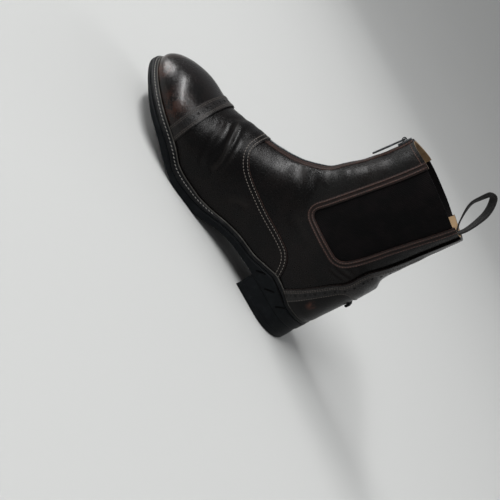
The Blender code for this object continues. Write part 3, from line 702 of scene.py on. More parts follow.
# Meshes
def newObject(name, points, faces, finishes, slots=None, angle=40, smooth=True):
    mesh = bpy.data.meshes.new(name)
    mesh.from_pydata(np.asarray(points, float).tolist(), [], faces)
    made = bpy.data.objects.new(name, mesh)
    bpy.context.scene.collection.objects.link(made)
    for finish in finishes:
        mesh.materials.append(finish)
    if slots is not None:
        mesh.polygons.foreach_set("material_index", slots)
    if smooth:
        mesh.shade_smooth()
        mesh.set_sharp_from_angle(angle=math.radians(angle))
    mesh.update()
    return made


def bake(made):
    # the evaluated mesh becomes the object's own, and its modifiers go
    bpy.context.view_layer.update()
    graph = bpy.context.evaluated_depsgraph_get()
    mesh = bpy.data.meshes.new_from_object(made.evaluated_get(graph))
    old = made.data
    made.modifiers.clear()
    made.data = mesh
    mesh.name = made.name
    bpy.data.meshes.remove(old)
    return made


def drop(*objects):
    for gone in objects:
        mesh = gone.data
        bpy.data.objects.remove(gone)
        if mesh and not mesh.users:
            bpy.data.meshes.remove(mesh)


def combine(made, tools, operation):
    for tool in tools:
        step = made.modifiers.new(tool.name, "BOOLEAN")
        step.operation = operation
        step.solver = "EXACT"
        step.object = tool
    bake(made)
    drop(*tools)
    return made


def faceOut(made):
    work = bmesh.new()
    work.from_mesh(made.data)
    bmesh.ops.remove_doubles(work, verts=work.verts, dist=1e-6)
    bmesh.ops.recalc_face_normals(work, faces=work.faces)
    work.to_mesh(made.data)
    work.free()
    return made


def prism(outline, lowY, highY, slot=1):
    # a side-view outline in metres carried across the boot; its cut faces take that slot
    count = len(outline)
    points = [(p[0], y, p[1]) for y in (lowY, highY) for p in outline]
    faces = [tuple(range(count)), tuple(range(2 * count - 1, count - 1, -1))]
    for i in range(count):
        j = (i + 1) % count
        faces.append((i, count + i, count + j, j))
    made = newObject("cutter", points, faces, [None, None], [slot] * len(faces), smooth=False)
    return faceOut(made)


clearance = 0.0003  # between two pieces that meet


def wallOf(name, finishes, faceLifts, levels=None, columns=None, thinned=1):
    # a closed wall that follows the leather; its outer and inner lift are millimetres from its face.
    # The outer side takes every point of the grid, or every thinned one, and the inner side fewer.
    outside, inside = faceLifts
    first, final = levels or (0, grid.shape[0] - 1)
    final = first + (final - first) // (3 * thinned) * 3 * thinned
    rows = np.arange(first, final + 1, thinned)
    closed = columns is None
    if closed:
        cols = np.arange(0, grid.shape[1], thinned)
    else:
        count = (columns[1] - columns[0]) // (2 * thinned) * 2 * thinned
        cols = np.arange(columns[0], columns[0] + count + 1, thinned) % grid.shape[1]
    spot = np.ix_(rows, cols)

    def moved(lift):
        wall = grid[spot] + gridOut[spot] * (lift / 1000 - gridSink[spot])[..., None]
        if first == 0:
            wall[0, :, 2] = feather(wall[0, :, 0]) + clearance
        if final == grid.shape[0] - 1:
            wall[-1, :, 2] = grid[spot][-1, :, 2]
        return wall

    outer = moved(outside)
    inner = moved(inside)[::3, ::2]
    high, wide = outer.shape[:2]
    lowHigh, lowWide = inner.shape[:2]
    turn, lowTurn = (wide, lowWide) if closed else (wide - 1, lowWide - 1)

    def o(k, i):
        return k * wide + i % wide

    def n(k, i):
        return high * wide + k * lowWide + i % lowWide

    faces = [
        (o(k, i), o(k + 1, i), o(k + 1, i + 1), o(k, i + 1))
        for k in range(high - 1) for i in range(turn)
    ]
    faces += [
        (n(k, i), n(k, i + 1), n(k + 1, i + 1), n(k + 1, i))
        for k in range(lowHigh - 1) for i in range(lowTurn)
    ]
    top, lowTop = high - 1, lowHigh - 1
    for j in range(lowTurn):
        i = 2 * j
        faces.append((o(0, i), o(0, i + 1), o(0, i + 2), n(0, j + 1), n(0, j)))
        faces.append((o(top, i + 2), o(top, i + 1), o(top, i), n(lowTop, j), n(lowTop, j + 1)))
    if not closed:
        end, lowEnd = wide - 1, lowWide - 1
        for j in range(lowHigh - 1):
            k = 3 * j
            faces.append((o(k + 3, 0), o(k + 2, 0), o(k + 1, 0), o(k, 0), n(j, 0), n(j + 1, 0)))
            side = [o(k + step, end) for step in range(4)]
            faces.append((*side, n(j + 1, lowEnd), n(j, lowEnd)))
    points = np.concatenate([outer.reshape(-1, 3), inner.reshape(-1, 3)])
    return newObject(name, points, faces, finishes)


def columnsNear(xFrom, back):
    # the grid's columns behind xFrom at the welt, or ahead of it, in their own order
    side = gridOf["side"]
    reach = int(np.searchsorted(grid[0, : side + 1, 0], fromHeel(xFrom)))
    return (2 * side - reach, 2 * side + reach) if back else (reach, 2 * side - reach)


def levelAt(height):
    # first level that reaches this height in millimetres at mid length
    return int(np.searchsorted(gridLevels, height / 1000))


def sideView(points):
    return [(float(fromHeel(x)), z / 1000) for x, z in points]


def filleted(corners, radius, steps=6):
    corners = [np.array(c, float) for c in corners]
    rounded = []
    for i, corner in enumerate(corners):
        before = corners[i - 1] - corner
        after = corners[(i + 1) % len(corners)] - corner
        reach = min(radius, np.linalg.norm(before) / 2.2, np.linalg.norm(after) / 2.2)
        start = corner + before / np.linalg.norm(before) * reach
        end = corner + after / np.linalg.norm(after) * reach
        for k in range(steps + 1):
            t = k / steps
            rounded.append((1 - t) ** 2 * start + 2 * t * (1 - t) * corner + t**2 * end)
    return rounded


def shifted(line, distance, closed=False):
    # the line with each place moved to its left by distance in metres
    points = np.array(line, float)
    if closed:
        before = points - np.roll(points, 1, axis=0)
        after = np.roll(points, -1, axis=0) - points
    else:
        run = np.diff(points, axis=0)
        before = np.concatenate([run[:1], run])
        after = np.concatenate([run, run[-1:]])
    left = []
    for part in (before, after):
        along = unit(part)
        left.append(np.stack([-along[:, 1], along[:, 0]], 1))
    both = left[0] + left[1]
    return points + both * 2 / np.maximum(np.sum(both**2, axis=1, keepdims=True), 0.4) * distance


def shiftedMm(line, distance):
    return shifted(np.asarray(line) / 1000, distance / 1000) * 1000


def finer(line, count=60):
    line = np.array(line, float)
    run = np.concatenate([[0], np.cumsum(np.linalg.norm(np.diff(line, axis=0), axis=1))])
    at = np.linspace(0, run[-1], count)
    return np.stack([smoothCurve(run, line[:, i])(at) for i in range(line.shape[1])], 1)


# Side-view lines in millimetres from the heel's back and from the floor
seamLine = finer(
    ((162.6, 90), (161.6, 84.5), (161.7, 79.7), (161.2, 74.8), (158.8, 70.4), (153.7, 66.2), (143.1, 61.7),
     (127.4, 59.1), (103.6, 57.0), (84.2, 56.6), (71.1, 55.6), (64.1, 52.8), (59.2, 48.6), (55.4, 43.6),
     (52.6, 38.5), (50.5, 33.0)),
    90,
)
capLine = np.array(((197.0, 10.0), (198.2, 20.0), (200.2, 36.0), (203.4, 62.0), (205.5, 80.0)))
counterLine = finer(
    ((44.5, 27), (42.5, 34.5), (40.3, 40), (35.7, 49.8), (30.8, 62), (25.3, 76.3), (20.4, 86.5), (19.8, 92),
     (20.0, 98.5), (19.6, 105.1), (17.4, 113.4), (15.2, 122.6), (13.6, 132.7), (12.2, 151), (10.6, 168.6),
     (9.0, 185.4), (8.0, 205)),
    90,
)
bandLow = finer(
    ((31.5, 28), (29.5, 35.1), (24.8, 48.1), (19.1, 64.5), (13.3, 78.3), (7.8, 81.0), (1.5, 80.8), (-8, 80.6)),
    60,
)
# the elastic's window: share of the shaft's height, then front and back as shares of the collar's depth
goreShares = (
    (0.475, 0.890, 0.400), (0.570, 0.855, 0.340), (0.750, 0.800, 0.292), (0.900, 0.755, 0.240),
    (1.200, 0.710, 0.160),
)
goreFront = [(heelX + last["collarDepth"] * f, up * last["shaftHeight"]) for up, f, b in goreShares]
goreBack = [(heelX + last["collarDepth"] * b, up * last["shaftHeight"]) for up, f, b in goreShares]
goreLine = np.array(filleted(goreFront + goreBack[::-1], 0.011))
zipOf = {
    "end": heelX + 0.585 * last["length"], "slotHalf": 0.00425, "facingHalf": 0.0100, "tapeHalf": 0.00625,
}
slotLine = [
    (zipOf["end"], 0.060), (zipOf["end"], 0.120), (heelX + 0.160, 0.143), (heelX + 0.140, 0.229),
    (heelX + 0.060, 0.229), (heelX + 0.060, 0.134), (heelX + 0.095, 0.086),
]
wide = last["ballWidth"]  # further out than any side of the boot


def goreOutset(distance):
    # the window's outline moved outwards; its area says which way it runs round
    x, z = goreLine[:, 0], goreLine[:, 1]
    turn = 1 if np.sum(x * np.roll(z, -1) - z * np.roll(x, -1)) > 0 else -1
    return shifted(goreLine, -distance * turn, closed=True)


def goreCutters():
    return [prism(goreLine, 0.006, wide), prism(goreLine, -wide, -0.006)]


def slotCutter(half=zipOf["slotHalf"]):
    return prism(slotLine, -half, half)


def regionPrism(line, corners):
    return prism(sideView([*line, *corners]), -wide, wide)


# Leather panels: outer and inner face of each in millimetres from the last's surface
panels = {
    "lining": (-1.25, -2.4),
    "quarters": (0.0, -1.2),
    "vamp": (1.20, 0.03),
    "cap": (1.95, 1.23),
    "capBand": (2.75, 1.98),
    "counter": (1.25, 0.03),
    "heelBand": (2.00, 1.28),
    "gore": (-0.80, -2.1),
    "binding": (0.50, 0.03),
    "tape": (-1.3, -2.1),
}
# where each panel is cut out of the leather: its lap under the next one, or its width, in millimetres
cutting = {"quarterLap": 6.0, "bandGap": 0.5, "bandWide": 13.0, "heelBandGap": 0.6, "bindingWide": 6.2}


def storeCrease(made):
    # how deep each place lies in a crease, for the finish
    points = np.zeros(len(made.data.vertices) * 3)
    made.data.vertices.foreach_get("co", points)
    points = points.reshape(-1, 3)
    fold = np.clip(creaseDepth(points) / settle["folded"], 0, 1)
    fold = fold * smoothStep((points[:, 2] - feather(points[:, 0])) / settle["welt"])
    field = made.data.attributes.new("crease", "FLOAT", "POINT")
    field.data.foreach_set("value", fold.astype(np.float32))


def dress(made, body, slot, *nodes, leather=True):
    if leather:
        storeCrease(made)
    made.data.shade_smooth()
    made.data.set_sharp_from_angle(angle=math.radians(38))
    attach(made, body)
    if nodes:
        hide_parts(*nodes)
    print(made.name, len(made.data.polygons), "faces")
    return made


inner = wallOf("tanLiningPiece", [lining, cutEdge], panels["lining"], thinned=2)
combine(inner, goreCutters() + [slotCutter()], "DIFFERENCE")
dress(inner, "boot", "lining", "upper")

quarters = wallOf("quarters", [upperLeather, cutEdge], panels["quarters"], levels=(0, 240))
quarterEdge = shiftedMm(seamLine, cutting["quarterLap"])
combine(quarters, [regionPrism(quarterEdge, ((30, -20), (-40, -20), (-40, 260), (175, 260)))], "INTERSECT")
combine(quarters, goreCutters() + [slotCutter()], "DIFFERENCE")
dress(quarters, "boot", "leather", "upper")

area = {"levels": (0, levelAt(97)), "columns": columnsNear(38, False)}
vamp = wallOf("vamp", [upperLeather, cutEdge], panels["vamp"], **area)
combine(vamp, [regionPrism(seamLine, ((50, -20), (330, -20), (330, 90)))], "INTERSECT")
dress(vamp, "boot", "leather", "upper")

area = {"levels": (0, levelAt(68)), "columns": columnsNear(178, False)}
cap = wallOf("toeCapLeather", [capLeather, darkEdge], panels["cap"], **area)
combine(cap, [regionPrism(capLine, ((330, 80), (330, 0)))], "INTERSECT")
dress(cap, "boot", "leather", "toe_cap")

capBand = wallOf("capBand", [bandLeather, darkEdge, punchedHole], panels["capBand"], **area)
bandBack = capLine + (cutting["bandGap"], 0)
bandFront = capLine + (cutting["bandWide"], 0)
combine(capBand, [regionPrism(bandBack, bandFront[::-1])], "INTERSECT")

area = {"columns": columnsNear(78, True)}
counter = wallOf("counterLeatherPiece", [counterLeather, darkEdge], panels["counter"], **area)
combine(counter, [regionPrism(counterLine, ((-40, 205), (-40, 10), (44.5, 10)))], "INTERSECT")
dress(counter, "boot", "leather", "counter")

heelBand = wallOf("heelBand", [bandLeather, darkEdge, punchedHole], panels["heelBand"], **area)
bandTop = shiftedMm(counterLine, cutting["heelBandGap"])
combine(heelBand, [regionPrism(bandTop, ((-40, 205), (-40, 80.6), *bandLow[::-1]))], "INTERSECT")
print("panels cut")

for name, node, low, high in (
    ("goreOuterPiece", "gore_outer", 0.006, wide), ("goreInnerPiece", "gore_inner", -wide, -0.006)
):
    made = wallOf(name, [elastic, elastic], panels["gore"], levels=(levelAt(84), 240))
    combine(made, [prism(goreLine, low, high)], "INTERSECT")
    dress(made, "boot", "elastic", node, leather=False)

# Reddish strips that bind the side windows and face the zip
binding = wallOf("goreBinding", [bindingLeather, cutEdge], panels["binding"], levels=(levelAt(76), 240))
combine(binding, [prism(goreLine, -wide, wide)], "DIFFERENCE")
combine(binding, [prism(goreOutset(cutting["bindingWide"] / 1000), -wide, wide)], "INTERSECT")
dress(binding, "boot", "leather")

side = gridOf["side"]
area = {"levels": (levelAt(60), 240), "columns": (side - 60, side + 60)}
facing = wallOf("zipFacing", [bindingLeather, cutEdge], panels["binding"], **area)
combine(facing, [slotCutter(zipOf["facingHalf"])], "INTERSECT")
combine(facing, [slotCutter()], "DIFFERENCE")
dress(facing, "boot", "leather")

tape = wallOf("zipTapeCloth", [tapeCloth, tapeCloth], panels["tape"], **area)
combine(tape, [slotCutter(zipOf["tapeHalf"])], "INTERSECT")
dress(tape, "boot", "tape", "zip_tape", leather=False)


# Rows of one small item along lines on the leather, in Geometry Nodes
def rowTree():
    tree = bpy.data.node_groups.new("rowOfItems", "GeometryNodeTree")
    face = tree.interface
    for name, kind in (
        ("Line", "NodeSocketGeometry"), ("Item", "NodeSocketObject"), ("Pitch", "NodeSocketFloat"),
        ("Even Size", "NodeSocketVector"), ("Odd Size", "NodeSocketVector"), ("Side", "NodeSocketFloat"),
        ("Wobble", "NodeSocketFloat"), ("Seed", "NodeSocketInt"), ("Finish", "NodeSocketMaterial"),
    ):
        face.new_socket(name=name, in_out="INPUT", socket_type=kind)
    face.new_socket(name="Row", in_out="OUTPUT", socket_type="NodeSocketGeometry")

    def node(kind, settings, inputs):
        made = tree.nodes.new(kind)
        for key, value in settings.items():
            setattr(made, key, value)
        for key, value in inputs.items():
            if isinstance(value, bpy.types.NodeSocket):
                tree.links.new(value, made.inputs[key])
            else:
                made.inputs[key].default_value = value
        return made.outputs

    given = tree.nodes.new("NodeGroupInput").outputs
    curve = node("GeometryNodeMeshToCurve", {}, {0: given["Line"]})[0]
    values = {"Curve": curve, "Length": given["Pitch"]}
    spots = node("GeometryNodeResampleCurve", {"mode": "LENGTH"}, values)[0]
    settings = {"data_type": "FLOAT_VECTOR"}
    outward = node("GeometryNodeInputNamedAttribute", settings, {"Name": "outward"})[0]
    along = node("GeometryNodeInputTangent", {}, {})[0]
    settings = {"primary_axis": "Z", "secondary_axis": "X"}
    turned = node("FunctionNodeAxesToRotation", settings, {0: outward, 1: along})[0]
    most = given["Wobble"]
    least = node("ShaderNodeMath", {"operation": "MULTIPLY"}, {0: most, 1: -1.0})[0]
    values = {2: least, 3: most, "Seed": given["Seed"]}
    angle = node("FunctionNodeRandomValue", {"data_type": "FLOAT"}, values)[1]
    wobble = node("FunctionNodeAxisAngleToRotation", {}, {"Axis": (0.0, 0.0, 1.0), "Angle": angle})[0]
    settings = {"rotation_space": "LOCAL"}
    turned = node("FunctionNodeRotateRotation", settings, {0: turned, 1: wobble})[0]
    index = node("GeometryNodeInputIndex", {}, {})[0]
    odd = node("ShaderNodeMath", {"operation": "MODULO"}, {0: index, 1: 2.0})[0]
    values = {0: odd, 4: given["Even Size"], 5: given["Odd Size"]}
    size = node("ShaderNodeMix", {"data_type": "VECTOR"}, values)[1]
    item = node("GeometryNodeObjectInfo", {}, {"Object": given["Item"]})["Geometry"]
    values = {"Points": spots, "Instance": item, "Rotation": turned, "Scale": size}
    placed = node("GeometryNodeInstanceOnPoints", {}, values)[0]
    swing = node("ShaderNodeMath", {"operation": "MULTIPLY_ADD"}, {0: odd, 1: -2.0, 2: 1.0})[0]
    aside = node("ShaderNodeMath", {"operation": "MULTIPLY"}, {0: swing, 1: given["Side"]})[0]
    offset = node("ShaderNodeCombineXYZ", {}, {"Y": aside})[0]
    values = {"Instances": placed, "Translation": offset, "Local Space": True}
    placed = node("GeometryNodeTranslateInstances", {}, values)[0]
    real = node("GeometryNodeRealizeInstances", {}, {0: placed})[0]
    done = node("GeometryNodeSetMaterial", {}, {"Geometry": real, "Material": given["Finish"]})[0]
    out = tree.nodes.new("NodeGroupOutput")
    tree.links.new(done, out.inputs[0])
    return tree


rows = rowTree()


def lineObject(name, lines):
    # lines: (points, outward, closed)
    points, outs, edges = [], [], []
    for place, out, closed in lines:
        start = len(points)
        points += place.tolist()
        outs += out.tolist()
        edges += [(start + i, start + i + 1) for i in range(len(place) - 1)]
        if closed:
            edges.append((start + len(place) - 1, start))
    mesh = bpy.data.meshes.new(name)
    mesh.from_pydata(points, edges, [])
    made = bpy.data.objects.new(name, mesh)
    bpy.context.scene.collection.objects.link(made)
    field = mesh.attributes.new("outward", "FLOAT_VECTOR", "POINT")
    field.data.foreach_set("vector", np.array(outs, np.float32).ravel())
    return made


def rowOf(name, lines, item, finish, pitch, even, odd=None, aside=0.0, wobble=0.0, seed=3):
    made = lineObject(name, lines)
    step = made.modifiers.new("row", "NODES")
    step.node_group = rows
    given = {
        "Item": item, "Pitch": pitch, "Even Size": even, "Odd Size": odd or even, "Side": aside,
        "Wobble": wobble, "Seed": seed, "Finish": finish,
    }
    for socket in rows.interface.items_tree:
        if socket.in_out == "INPUT" and socket.name in given:
            step[socket.identifier] = given[socket.name]
    bake(made)
    if not made.data.materials:
        made.data.materials.append(finish)
    return made


def stackFaces(rings, loop=False):
    # four-sided faces between rings of as many points each; a loop also joins the last to the first
    count = len(rings[0])
    faces = []
    for k in range(len(rings) if loop else len(rings) - 1):
        low, high = k * count, (k + 1) % len(rings) * count
        faces += [
            (low + i, low + (i + 1) % count, high + (i + 1) % count, high + i) for i in range(count)
        ]
    return faces


def stackEnds(rings):
    # the first and the last ring closed flat
    count, final = len(rings[0]), len(rings) - 1
    return [tuple(range(count)), tuple(range((final + 1) * count - 1, final * count - 1, -1))]


def circle(count):
    return [(math.cos(2 * math.pi * i / count), math.sin(2 * math.pi * i / count)) for i in range(count)]


def helperItem(name, points, faces):
    made = faceOut(newObject(name, points, faces, []))
    made.hide_render = True
    return made


def beadItem(name, sides=6, rings=3):
    # a unit pill along X: the shape of one stitch
    points = [(-0.5, 0, 0)]
    for k in range(rings):
        t = (k + 0.5) / rings
        r = 0.5 * math.sqrt(max(0.0, 1 - (2 * t - 1) ** 4))
        points += [(t - 0.5, r * across, r * up) for across, up in circle(sides)]
    points.append((0.5, 0, 0))
    faces = []
    final = 1 + (rings - 1) * sides
    for i in range(sides):
        j = (i + 1) % sides
        faces.append((0, 1 + j, 1 + i))
        for k in range(rings - 1):
            a, b = 1 + k * sides, 1 + (k + 1) * sides
            faces.append((a + i, a + j, b + j, b + i))
        faces.append((final + i, final + j, len(points) - 1))
    return helperItem(name, points, faces)


def pinItem(name, sides=12):
    # a short round pin along Z that punches one hole
    rings = [[(0.5 * x, 0.5 * y, z) for x, y in circle(sides)] for z in (-1, 1)]
    return helperItem(name, rings[0] + rings[1], stackFaces(rings) + stackEnds(rings))


stitchItem = beadItem("stitchItem")
pin = pinItem("pinItem")


def lifted(points, lift):
    out = normalsAt(points)
    return points + out * (lift / 1000 - sinkAt(points))[:, None], out


def onSide(line, which):
    # a side-view line laid on the outer (1) or inner (-1) face
    line = finer(line, 400)
    x, z = fromHeel(line[:, 0]), line[:, 1] / 1000
    middle = ridge(x)
    edge = 0.0006
    inside = (lastValue(x, middle, z) < 0.9995) & (z > feather(x) + edge)
    inside &= z < heightAt(x, last["shaftHeight"]) - edge
    x, z, middle = x[inside], z[inside], middle[inside]
    far = np.full(len(x), wide)
    d = crossing(lambda d: lastValue(x, middle + which * d, z), np.zeros(len(x)), far)
    return np.stack([x, middle + which * d, z], 1)


def evened(points, step=0.0008):
    run = np.concatenate([[0], np.cumsum(np.linalg.norm(np.diff(points, axis=0), axis=1))])
    at = np.linspace(0, run[-1], max(4, int(run[-1] / step)))
    return np.stack([np.interp(at, run, points[:, i]) for i in range(3)], 1)


def seamRow(line, lift, joined=False):
    # one row on each side of the boot, or one that runs over the top of the foot
    outer, inner = onSide(line, 1), onSide(line, -1)
    if not joined:
        return [(*lifted(evened(part), lift), False) for part in (outer, inner)]
    falling = line[0][1] > line[-1][1]
    whole = np.concatenate([outer[::-1], inner] if falling else [outer, inner[::-1]])
    return [(*lifted(evened(whole), lift), False)]


def seamRows(lines, lift, joined=False):
    return [row for line in lines for row in seamRow(line, lift, joined)]


def tubeAlong(points, radius, name, slot=0, sides=10):
    # a round bar along points in metres, closed at both ends
    run = unit(np.gradient(points, axis=0))
    across = unit(np.cross(run, (0.0, 1.0, 0.0)))
    up = np.cross(across, run)
    radius = np.broadcast_to(radius, (len(points),))[:, None]
    rings = np.array([points + radius * (a * across + b * up) for a, b in circle(sides)])
    rings = rings.transpose(1, 0, 2)
    faces = stackFaces(rings) + stackEnds(rings)
    slots = [slot] * len(faces)
    return faceOut(newObject(name, rings.reshape(-1, 3), faces, [None, None], slots, smooth=False))


def combineAll(parts, name, finish):
    # several loose meshes become one piece that rides on the boot
    points, faces = [], []
    for part in parts:
        first = len(points)
        points += [tuple(v.co) for v in part.data.vertices]
        faces += [tuple(first + i for i in face.vertices) for face in part.data.polygons]
    drop(*parts)
    return dress(newObject(name, points, faces, [finish]), "boot", "leather", leather=False)


# Brogue holes along both bands, large and small in turn: width, depth and spacing in metres
brogue = {
    "large": (0.0027, 0.0027, 0.0006), "small": (0.0012, 0.0012, 0.0006),
    "capPitch": 0.0048, "heelPitch": 0.0043, "heelIn": 5.6,
}


def punched(band, lines, pitch, node):
    # the walls of the holes take the band's third finish, a near-black painted shade
    punch = rowOf("bandPunch", lines, pin, punchedHole, pitch, brogue["large"], brogue["small"])
    punch.data.materials.clear()
    for _ in range(3):
        punch.data.materials.append(None)
    punch.data.polygons.foreach_set("material_index", [2] * len(punch.data.polygons))
    combine(band, [punch], "DIFFERENCE")
    dress(band, "boot", "leather", node)


capTop, heelTop = panels["capBand"][0], panels["heelBand"][0]
holes = seamRow(capLine + (cutting["bandWide"] / 2 + 0.2, 0), capTop, joined=True)
punched(capBand, holes, brogue["capPitch"], "toe_cap")
holes = seamRow(shiftedMm(counterLine, brogue["heelIn"])[:88], heelTop)
punched(heelBand, holes, brogue["heelPitch"], "counter")
print("perforations punched")

# Stitches: spacing, then length, width and height of one, in metres
stitch = {
    "vamp": (0.0028, (0.0021, 0.00075, 0.0006)),
    "band": (0.0021, (0.0017, 0.0006, 0.0005)),
    "fine": (0.0023, (0.0017, 0.00045, 0.00038)),
    "welt": (0.0033, (0.0024, 0.00085, 0.0006)),
    "wobble": 0.10,
    "onTop": 0.03,
}


def stitchRow(name, lines, thread, kind):
    pitch, size = stitch[kind]
    made = rowOf(name, lines, stitchItem, thread, pitch, size, wobble=stitch["wobble"])
    dress(made, "boot", "leather", leather=False)


lines = [shiftedMm(seamLine, away) for away in (1.5, 4.9)]
stitchRow("vampStitches", seamRows(lines, panels["vamp"][0] + 0.05, True), dustyThread, "vamp")

lines = [capLine + (away, 0) for away in (1.6, 3.0, cutting["bandWide"] - 2.6, cutting["bandWide"] - 1.2)]
stitchRow("capStitches", seamRows(lines, capTop + stitch["onTop"], True), darkThread, "band")

lines = [shiftedMm(counterLine, 1.9), shiftedMm(counterLine, 3.1), shiftedMm(bandLow, -1.2)]
stitchRow("heelStitches", seamRows(lines, heelTop + stitch["onTop"]), darkThread, "band")

# a round piping lies under each row of the window's binding
bindingTop = panels["binding"][0] + stitch["onTop"]
pipingOf = {"radius": 0.00095, "sunk": 0.00025, "stitchUp": 0.00062}
lines = []
for away in (0.0013, 0.0046):
    line = goreOutset(away)
    line = np.stack([(line[:, 0] - heelX) * 1000, line[:, 1] * 1000], 1)
    lines.append(np.roll(line, -int(np.argmax(line[:, 1])), axis=0))
bindingRows = seamRows(lines, bindingTop)
pipes = [
    tubeAlong(place[::2] - out[::2] * pipingOf["sunk"], pipingOf["radius"], "pipe", sides=8)
    for place, out, closed in bindingRows
]
combineAll(pipes, "goreBindingPiping", piping)
bindingRows = [(place + out * pipingOf["stitchUp"], out, closed) for place, out, closed in bindingRows]
stitchRow("bindingStitches", bindingRows, brownThread, "fine")


def downFront(highest, lowest, keepOff, count):
    # the front's middle line from high to low as shares of the shaft, ending above the zip's end
    levels = np.linspace(last["shaftHeight"] * highest, last["shaftHeight"] * lowest, count)
    _, x = profile(levels)
    z = heightAt(x, levels)
    kept = x < zipOf["end"] - keepOff
    return x[kept], z[kept]


def frontLine(sideways):
    # a line down the front at a distance from the middle, on the leather
    x, z = downFront(0.992, 0.31, 0.0010, 500)
    run = unit(np.gradient(np.stack([x, z], 1), axis=0))
    out = np.stack([-run[:, 1], 0 * x, run[:, 0]], 1)
    start = np.stack([x, np.full(len(x), sideways), z], 1) - out * 0.012

    def valueAt(reach):
        place = start + out * reach[:, None]
        return lastValue(place[:, 0], place[:, 1], place[:, 2])

    reach = crossing(valueAt, np.zeros(len(x)), np.full(len(x), 0.03))
    return evened(start + out * reach[:, None])


zipRows = [
    (*lifted(frontLine(which * (zipOf["slotHalf"] + away)), bindingTop), False)
    for which in (1, -1) for away in (0.0014, 0.0044)
]
stitchRow("zipStitches", zipRows, brownThread, "fine")

# the row that holds the lining, under the collar's edge: on the quarters and on the heel band
collarRows = []
ring = grid[grid.shape[0] - 5]
for which in (1, -1):
    part = ring[(np.sign(ring[:, 1]) == which) & (ring[:, 0] > goreLine[:, 0].min())]
    for near, far, lift in ((80.5, 98.2, 0.05), (7.2, 13.5, heelTop)):
        place = part[(part[:, 0] > fromHeel(near)) & (part[:, 0] < fromHeel(far))]
        place = place[np.argsort(place[:, 0])]
        if len(place) > 3:
            collarRows.append((*lifted(evened(place), lift), False))
stitchRow("collarStitches", collarRows, brownThread, "fine")
print("stitches sewn")


# Sole: insets are in millimetres from its outline, or a function of x in metres
soleOf = {"side": 150, "heelLength": 0.066, "breast": 0.004, "liftGroove": 0.0068}


def soleRing(inset, height):
    insetOf = inset if callable(inset) else (lambda x: inset / 1000 + 0 * x)
    back, front = (float(insetOf(np.array(x))) for x in (heelX, toeX))
    xs = stations(back, front, soleOf["side"])
    insets = insetOf(xs)
    ringX, ringY = around(halfWidth(xs, insets, True), halfWidth(xs, insets, False), xs)
    return np.stack([ringX, ringY, height(ringX)], 1)


def stripFaces(start, count):
    # closes a sole ring across, from the outer to the inner side
    half = count // 2
    faces = [(start, start + 1, start + count - 1)]
    for i in range(1, half - 1):
        faces.append((start + i, start + i + 1, start + count - i - 1, start + count - i))
    return [*faces, (start + half - 1, start + half, start + half + 1)]


def ringSolid(name, rings, finishes, loop=False):
    # a sole piece from its rings: closed across below and above, or a loop with a hole through it
    count = len(rings[0])
    faces = stackFaces(rings, loop)
    if not loop:
        faces += stripFaces(0, count) + stripFaces((len(rings) - 1) * count, count)
    return faceOut(newObject(name, np.concatenate(rings), faces, finishes))


def weltBottom(x):
    return feather(x) - last["weltSlope"] * rimShare(share(x)) - last["weltEdge"]


def weltTop(x):
    return weltBottom(x) + last["weltEdge"]


def soleSide(t, lift=0.0):
    # a height t of the way up the outsole's side, and millimetres above that
    def height(x):
        low = underside(x)
        return low + t * (weltBottom(x) - clearance - low) + lift / 1000

    return height


def makeOutsole():
    # inset, how far up the side, and millimetres above that
    profileRows = (
        (6.5, 0.0, 0.45), (6.0, 0.0, 0.0), (1.5, 0.0, 0.0), (0.55, 0.0, 0.25),
        (0.1, 0.0, 0.9), (0.0, 0.0, 1.5), (0.05, 0.45, 0.0), (0.0, 1.0, -1.5),
        (0.25, 1.0, -1.2), (0.25, 1.0, -0.9), (0.0, 1.0, -0.6), (0.25, 1.0, 0.0),
    )
    rings = [soleRing(inset, soleSide(t, lift)) for inset, t, lift in profileRows]
    return ringSolid("outsoleRubber", rings, [soleRubber, soleGroove])


def heelRing(inset, height):
    inset = inset / 1000
    length, hollow = soleOf["heelLength"], soleOf["breast"]
    xs = heelX + inset + (length - inset) * (1 - np.cos(math.pi / 2 * np.linspace(0, 1, 40)))
    outer, inner = halfWidth(xs, inset, True), halfWidth(xs, inset, False)
    points = [(x, y, height) for x, y in zip(xs, outer)]
    for t in np.linspace(1, -1, 15)[1:-1]:
        y = t * (outer[-1] if t > 0 else inner[-1])
        points.append((heelX + length - hollow * (1 - t * t) - inset, y, height))
    points += [(x, -y, height) for x, y in zip(xs[:0:-1], inner[:0:-1])]
    return np.array(points)


def makeHeelBlock():
    seat = float(underside(np.array(heelX)))
    groove = soleOf["liftGroove"]
    layers = (
        (1.6, 0.0), (0.55, 0.0), (-0.1, 0.0004), (-0.65, 0.0014), (-0.5, groove - 0.0004),
        (-0.2, groove - 0.0002), (-0.2, groove + 0.0002), (-0.45, groove + 0.0004), (0.0, 0.012),
        (0.6, seat - 0.0008), (0.7, seat), (2.4, seat + 0.003),
    )
    rings = [heelRing(inset, height) for inset, height in layers]
    faces = stackFaces(rings) + stackEnds(rings)
    return faceOut(newObject("heelBlock", np.concatenate(rings), faces, [soleRubber, soleRubber]))


def onSole(line, which):
    # places of a side-view line in millimetres on the rubber's side
    x = fromHeel(line[:, 0])
    return np.stack([x, which * halfWidth(x, 0.0, which > 0), line[:, 1] / 1000], 1)


